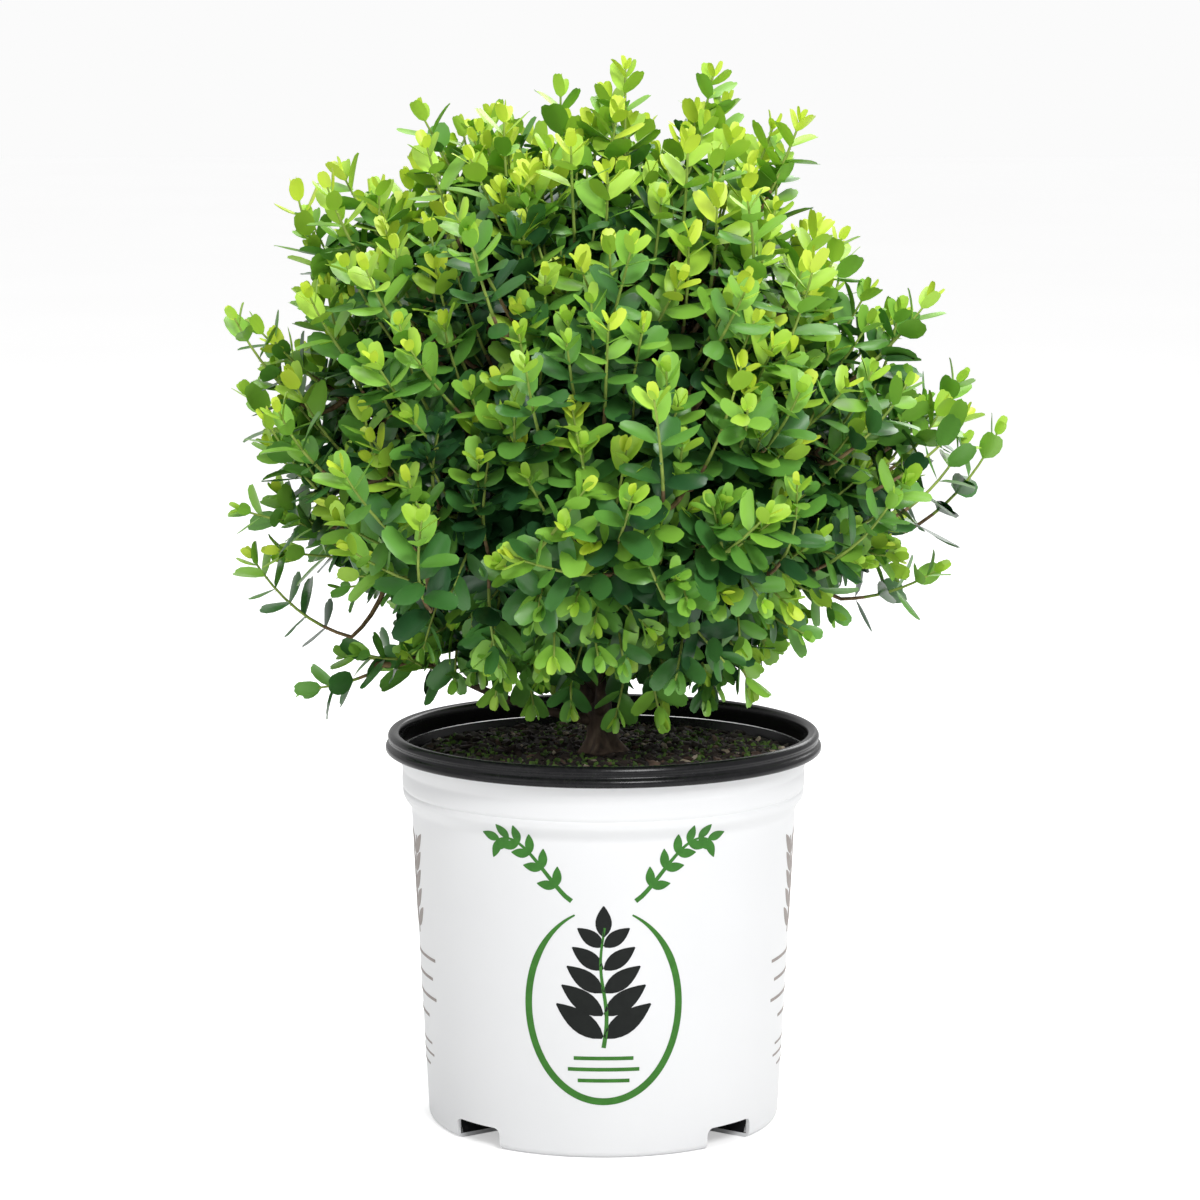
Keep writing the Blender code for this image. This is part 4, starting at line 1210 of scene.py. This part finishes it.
class Crown:
    """Collects twigs and leaves for each row of masses."""

    def __init__(self):
        self.leaves = defaultdict(list)
        self.young = defaultdict(list)
        self.old = defaultdict(list)
        self.rng = random.Random(SEED + 2)
        self.low = Vector(CAD_BOX[0]) - Vector((BOX_SLACK,) * 3)
        self.high = Vector(CAD_BOX[1]) + Vector((BOX_SLACK,) * 3)
        self.high.z = CAD_BOX[1][2]

    def has_room(self, points):
        for p in points:
            if any(p[k] < self.low[k] or p[k] > self.high[k] for k in range(3)):
                return False
            radius = math.hypot(p[0], p[1])
            near_rim = RIM_INNER_RADIUS - RIM_CLEARANCE < radius < RIM_LIP_RADIUS + RIM_CLEARANCE
            if near_rim and p[2] < RIM_TOP + RIM_CLEARANCE:
                return False
            if radius <= RIM_INNER_RADIUS and p[2] < SOIL_TOP + SOIL_CLEAR:
                return False
        return True

    def add_leaf(self, row, grade, root, axis, side, angle, length, light):
        """One leaf: its blade turns part of the way to the light."""
        along = (axis * math.cos(angle) + side * math.sin(angle)).normalized()
        upward = axis * math.sin(angle) - side * math.cos(angle)
        sunward = light - along * light.dot(along)
        if sunward.length > 0.1:
            upward = upward.lerp(sunward.normalized(), LEAF_TURN_TO_LIGHT)
        across = upward.cross(along).normalized()
        upward = along.cross(across)
        widest, half = root + along * length * 0.6, across * length * LEAF_WIDTH / 2
        if not self.has_room((root + along * length, widest + half, widest - half)):
            return
        tint = TINTS[min(len(TINTS) - 1, max(0, int(grade)))][0]
        template = self.rng.randrange(LEAF_TEMPLATES)
        broad = self.rng.uniform(*LEAF_BREADTHS)
        frame_of = (tuple(along * length), tuple(across * length * broad), tuple(upward * length))
        self.leaves[(row, tint)].append((tuple(root), frame_of, template))

    def add_shoot(self, mass, tip, inner, size=1.0, length=None, axis=None):
        """A leafy shoot that ends at the tip. Returns the place where it leaves its twig."""
        rng = self.rng
        outward = (tip - CROWN_CENTRE).normalized()
        lift = SHOOT_UP * (1 + SHOOT_DROOP * min(0.0, outward.z))
        if axis is None:
            wander = Vector([rng.gauss(0, spread) for spread in SHOOT_WANDER])
            axis = (outward * SHOOT_OUT + Vector((0, 0, lift)) + wander).normalized()
        length = length or rng.uniform(*SHOOT_LENGTHS)
        end = tip - axis * LEAF_LENGTHS[0] * size * 0.9
        base = end - axis * length * 0.72 - outward * length * 0.28
        lead = end - axis * length * 0.5
        path = curve_points(base, lead, end, SHOOT_STEPS + 1)
        if not self.has_room(path):
            return None
        thinning = SHOOT_TIP_RADIUS - SHOOT_RADIUS
        radii = [SHOOT_RADIUS + thinning * k / SHOOT_STEPS for k in range(SHOOT_STEPS + 1)]
        brown = SHOOT_BROWN_STEPS
        self.young[mass.row].append((path[brown:], radii[brown:]))
        self.old[mass.row].append((path[: brown + 1], radii[: brown + 1]))
        steps = [(b - a).length for a, b in zip(path, path[1:])]
        whole = sum(steps)
        roll = rng.uniform(0, math.pi)
        # Painted shade: the lower a shoot faces, the darker its leaf tints, and inner shoots darker still;
        # the random part adds real tone
        exposure = min(1.0, max(0.0, 0.55 + 0.50 * outward.z))
        shade = DOWNWARD_PAINTED_SHADE * (1 - exposure) + rng.gauss(0.10, 0.55) + (INNER_PAINTED_SHADE if inner else 0.0)
        light = (outward * 0.55 + Vector((0, 0, 0.85))).normalized()
        place = FIRST_PAIR * size
        for pair in range(len(LEAF_LENGTHS)):
            if place > whole * 0.96:
                break
            root, tangent = self.point_from_tip(path, steps, place)
            facing = tangent.orthogonal().normalized()
            # Each leaf's tint grade: real age along the shoot plus the painted shade above
            grade = pair * PAIR_AGING + shade
            for half_turn in (0.0, math.pi):
                if pair > LEAF_GAPS_FROM and rng.random() < LEAF_GAP_CHANCE:
                    continue
                turn = roll + half_turn + rng.gauss(0, 0.16)
                side = Matrix.Rotation(turn, 3, tangent) @ facing
                angle = math.radians(LEAF_ANGLES[pair] + rng.gauss(0, 7.0))
                reach = LEAF_LENGTHS[pair] * size * rng.uniform(*LEAF_LENGTH_SPREAD)
                self.add_leaf(mass.row, grade + rng.gauss(0, 0.22), root, tangent, side, angle, reach, light)
            roll += math.pi / 2
            place += INTERNODES[min(pair, len(INTERNODES) - 1)] * size * rng.uniform(0.85, 1.15)
        return base

    @staticmethod
    def point_from_tip(path, steps, place):
        """(point, direction) at a distance back from the path's end."""
        for index in range(len(steps) - 1, -1, -1):
            if place <= steps[index] or index == 0:
                share = min(1.0, place / steps[index])
                point = path[index + 1].lerp(path[index], share)
                return point, (path[index + 1] - path[index]).normalized()
            place -= steps[index]

    def grow_mass(self, mass):
        """Shoots at every tip of the mass, and twigs that join them to its stem."""
        rng = self.rng
        stem = curve_points(mass.foot, mass.foot.lerp(mass.heart, 0.5), mass.heart, STEM_STEPS + 1)
        thinning = TWIG_RADIUS - BOUGH_TIP_RADIUS
        radii = [BOUGH_TIP_RADIUS + thinning * k / STEM_STEPS for k in range(STEM_STEPS + 1)]
        self.old[mass.row].append((stem, radii))
        nodes = list(stem)
        bases = []
        for tip, inner in mass.shoots:
            if mass.name == "low_sprig":
                axis = (tip - mass.foot + Vector((0, 0, 0.006))).normalized()
                length = rng.uniform(*SPRIG_SHOOT_LENGTHS)
                base = self.add_shoot(mass, tip, False, size=SPRIG_SIZE, length=length, axis=axis)
            else:
                base = self.add_shoot(mass, tip, inner, size=rng.uniform(0.90, 1.10))
            if base is not None:
                bases.append(base)
        bases.sort(key=lambda base: (base - mass.heart).length)
        for base in bases:
            near = min(nodes, key=lambda node: (base - node).length + 0.4 * (node - mass.foot).length)
            span = base - near
            if span.length < SHORTEST_TWIG:
                continue
            askew = span.cross(Vector([rng.gauss(0, 1) for _ in range(3)])).normalized()
            sag = Vector((0, 0, -TWIG_SAG * span.length))
            lead = near + span * 0.5 + sag + askew * span.length * TWIG_BEND
            twig = curve_points(near, lead, base, TWIG_STEPS + 1)
            thinning = SHOOT_RADIUS - TWIG_RADIUS
            radii = [TWIG_RADIUS + thinning * k / TWIG_STEPS for k in range(TWIG_STEPS + 1)]
            self.old[mass.row].append((twig, radii))
            nodes.extend(twig[1:])

    def build(self, node_names, twig_bark, young_bark):
        """Joins leaves by row and tint, and twigs by row and age."""
        templates, faces = leaf_templates()
        finishes = {}
        for name, colour, roughness in TINTS:
            made, _, _, shader = shader_of(f"leaf_{name}", roughness, colour)
            shader.inputs["Specular IOR Level"].default_value = 0.45
            finishes[name] = made
        masses_of = defaultdict(list)
        for name in node_names:
            if name.startswith("foliage_"):
                masses_of[name.split("_")[1]].append(name)
        for (row, tint), leaves in sorted(self.leaves.items()):
            points = np.empty((len(leaves), len(templates[0]), 3))
            for index, (root, axes, template) in enumerate(leaves):
                points[index] = templates[template] @ np.array(axes) + np.array(root)
            corners = faces[None] + (np.arange(len(leaves)) * len(templates[0]))[:, None, None]
            piece = to_mesh_object(
                f"leaves_{row}_{tint}", points.reshape(-1, 3), corners.reshape(-1, 4), finishes[tint]
            )
            declare(piece, "foliage", *masses_of[row])
        for group, name, finish in ((self.old, "twigs", twig_bark), (self.young, "shoots", young_bark)):
            for row, limbs in sorted(group.items()):
                tubes = Tubes(5)
                for path, radii in limbs:
                    tubes.add(path, radii)
                tubes.build(f"{name}_{row}", finish, "foliage", *masses_of[row])


def main():
    node_names = sorted(frame["nodes"])
    make_camera()
    make_stage()
    white, black = white_plastic(), black_plastic()
    build_pot(white, black)
    build_rim(black)
    build_print()
    build_soil()
    build_litter()
    bark = bark_material("bark", BARK_STOPS, 240.0, 0.8)
    twig_bark = bark_material("twig_bark", TWIG_STOPS, 300.0, 0.4)
    young_bark = bark_material("young_bark", YOUNG_STOPS, 300.0, 0.2)
    masses = lay_out_masses()
    build_limbs(masses, bark, node_names)
    hearts = [mass for mass in masses.values() if mass.name != "low_sprig"]
    for tip, inner in spread_tips():
        nearest = min(hearts, key=lambda mass: (mass.heart - tip).length)
        nearest.shoots.append((tip, inner))
    masses["low_sprig"].shoots = [(Vector(tip), False) for tip in SPRIG_TIPS]
    crown = Crown()
    for mass in masses.values():
        crown.grow_mass(mass)
    crown.build(node_names, twig_bark, young_bark)


main()
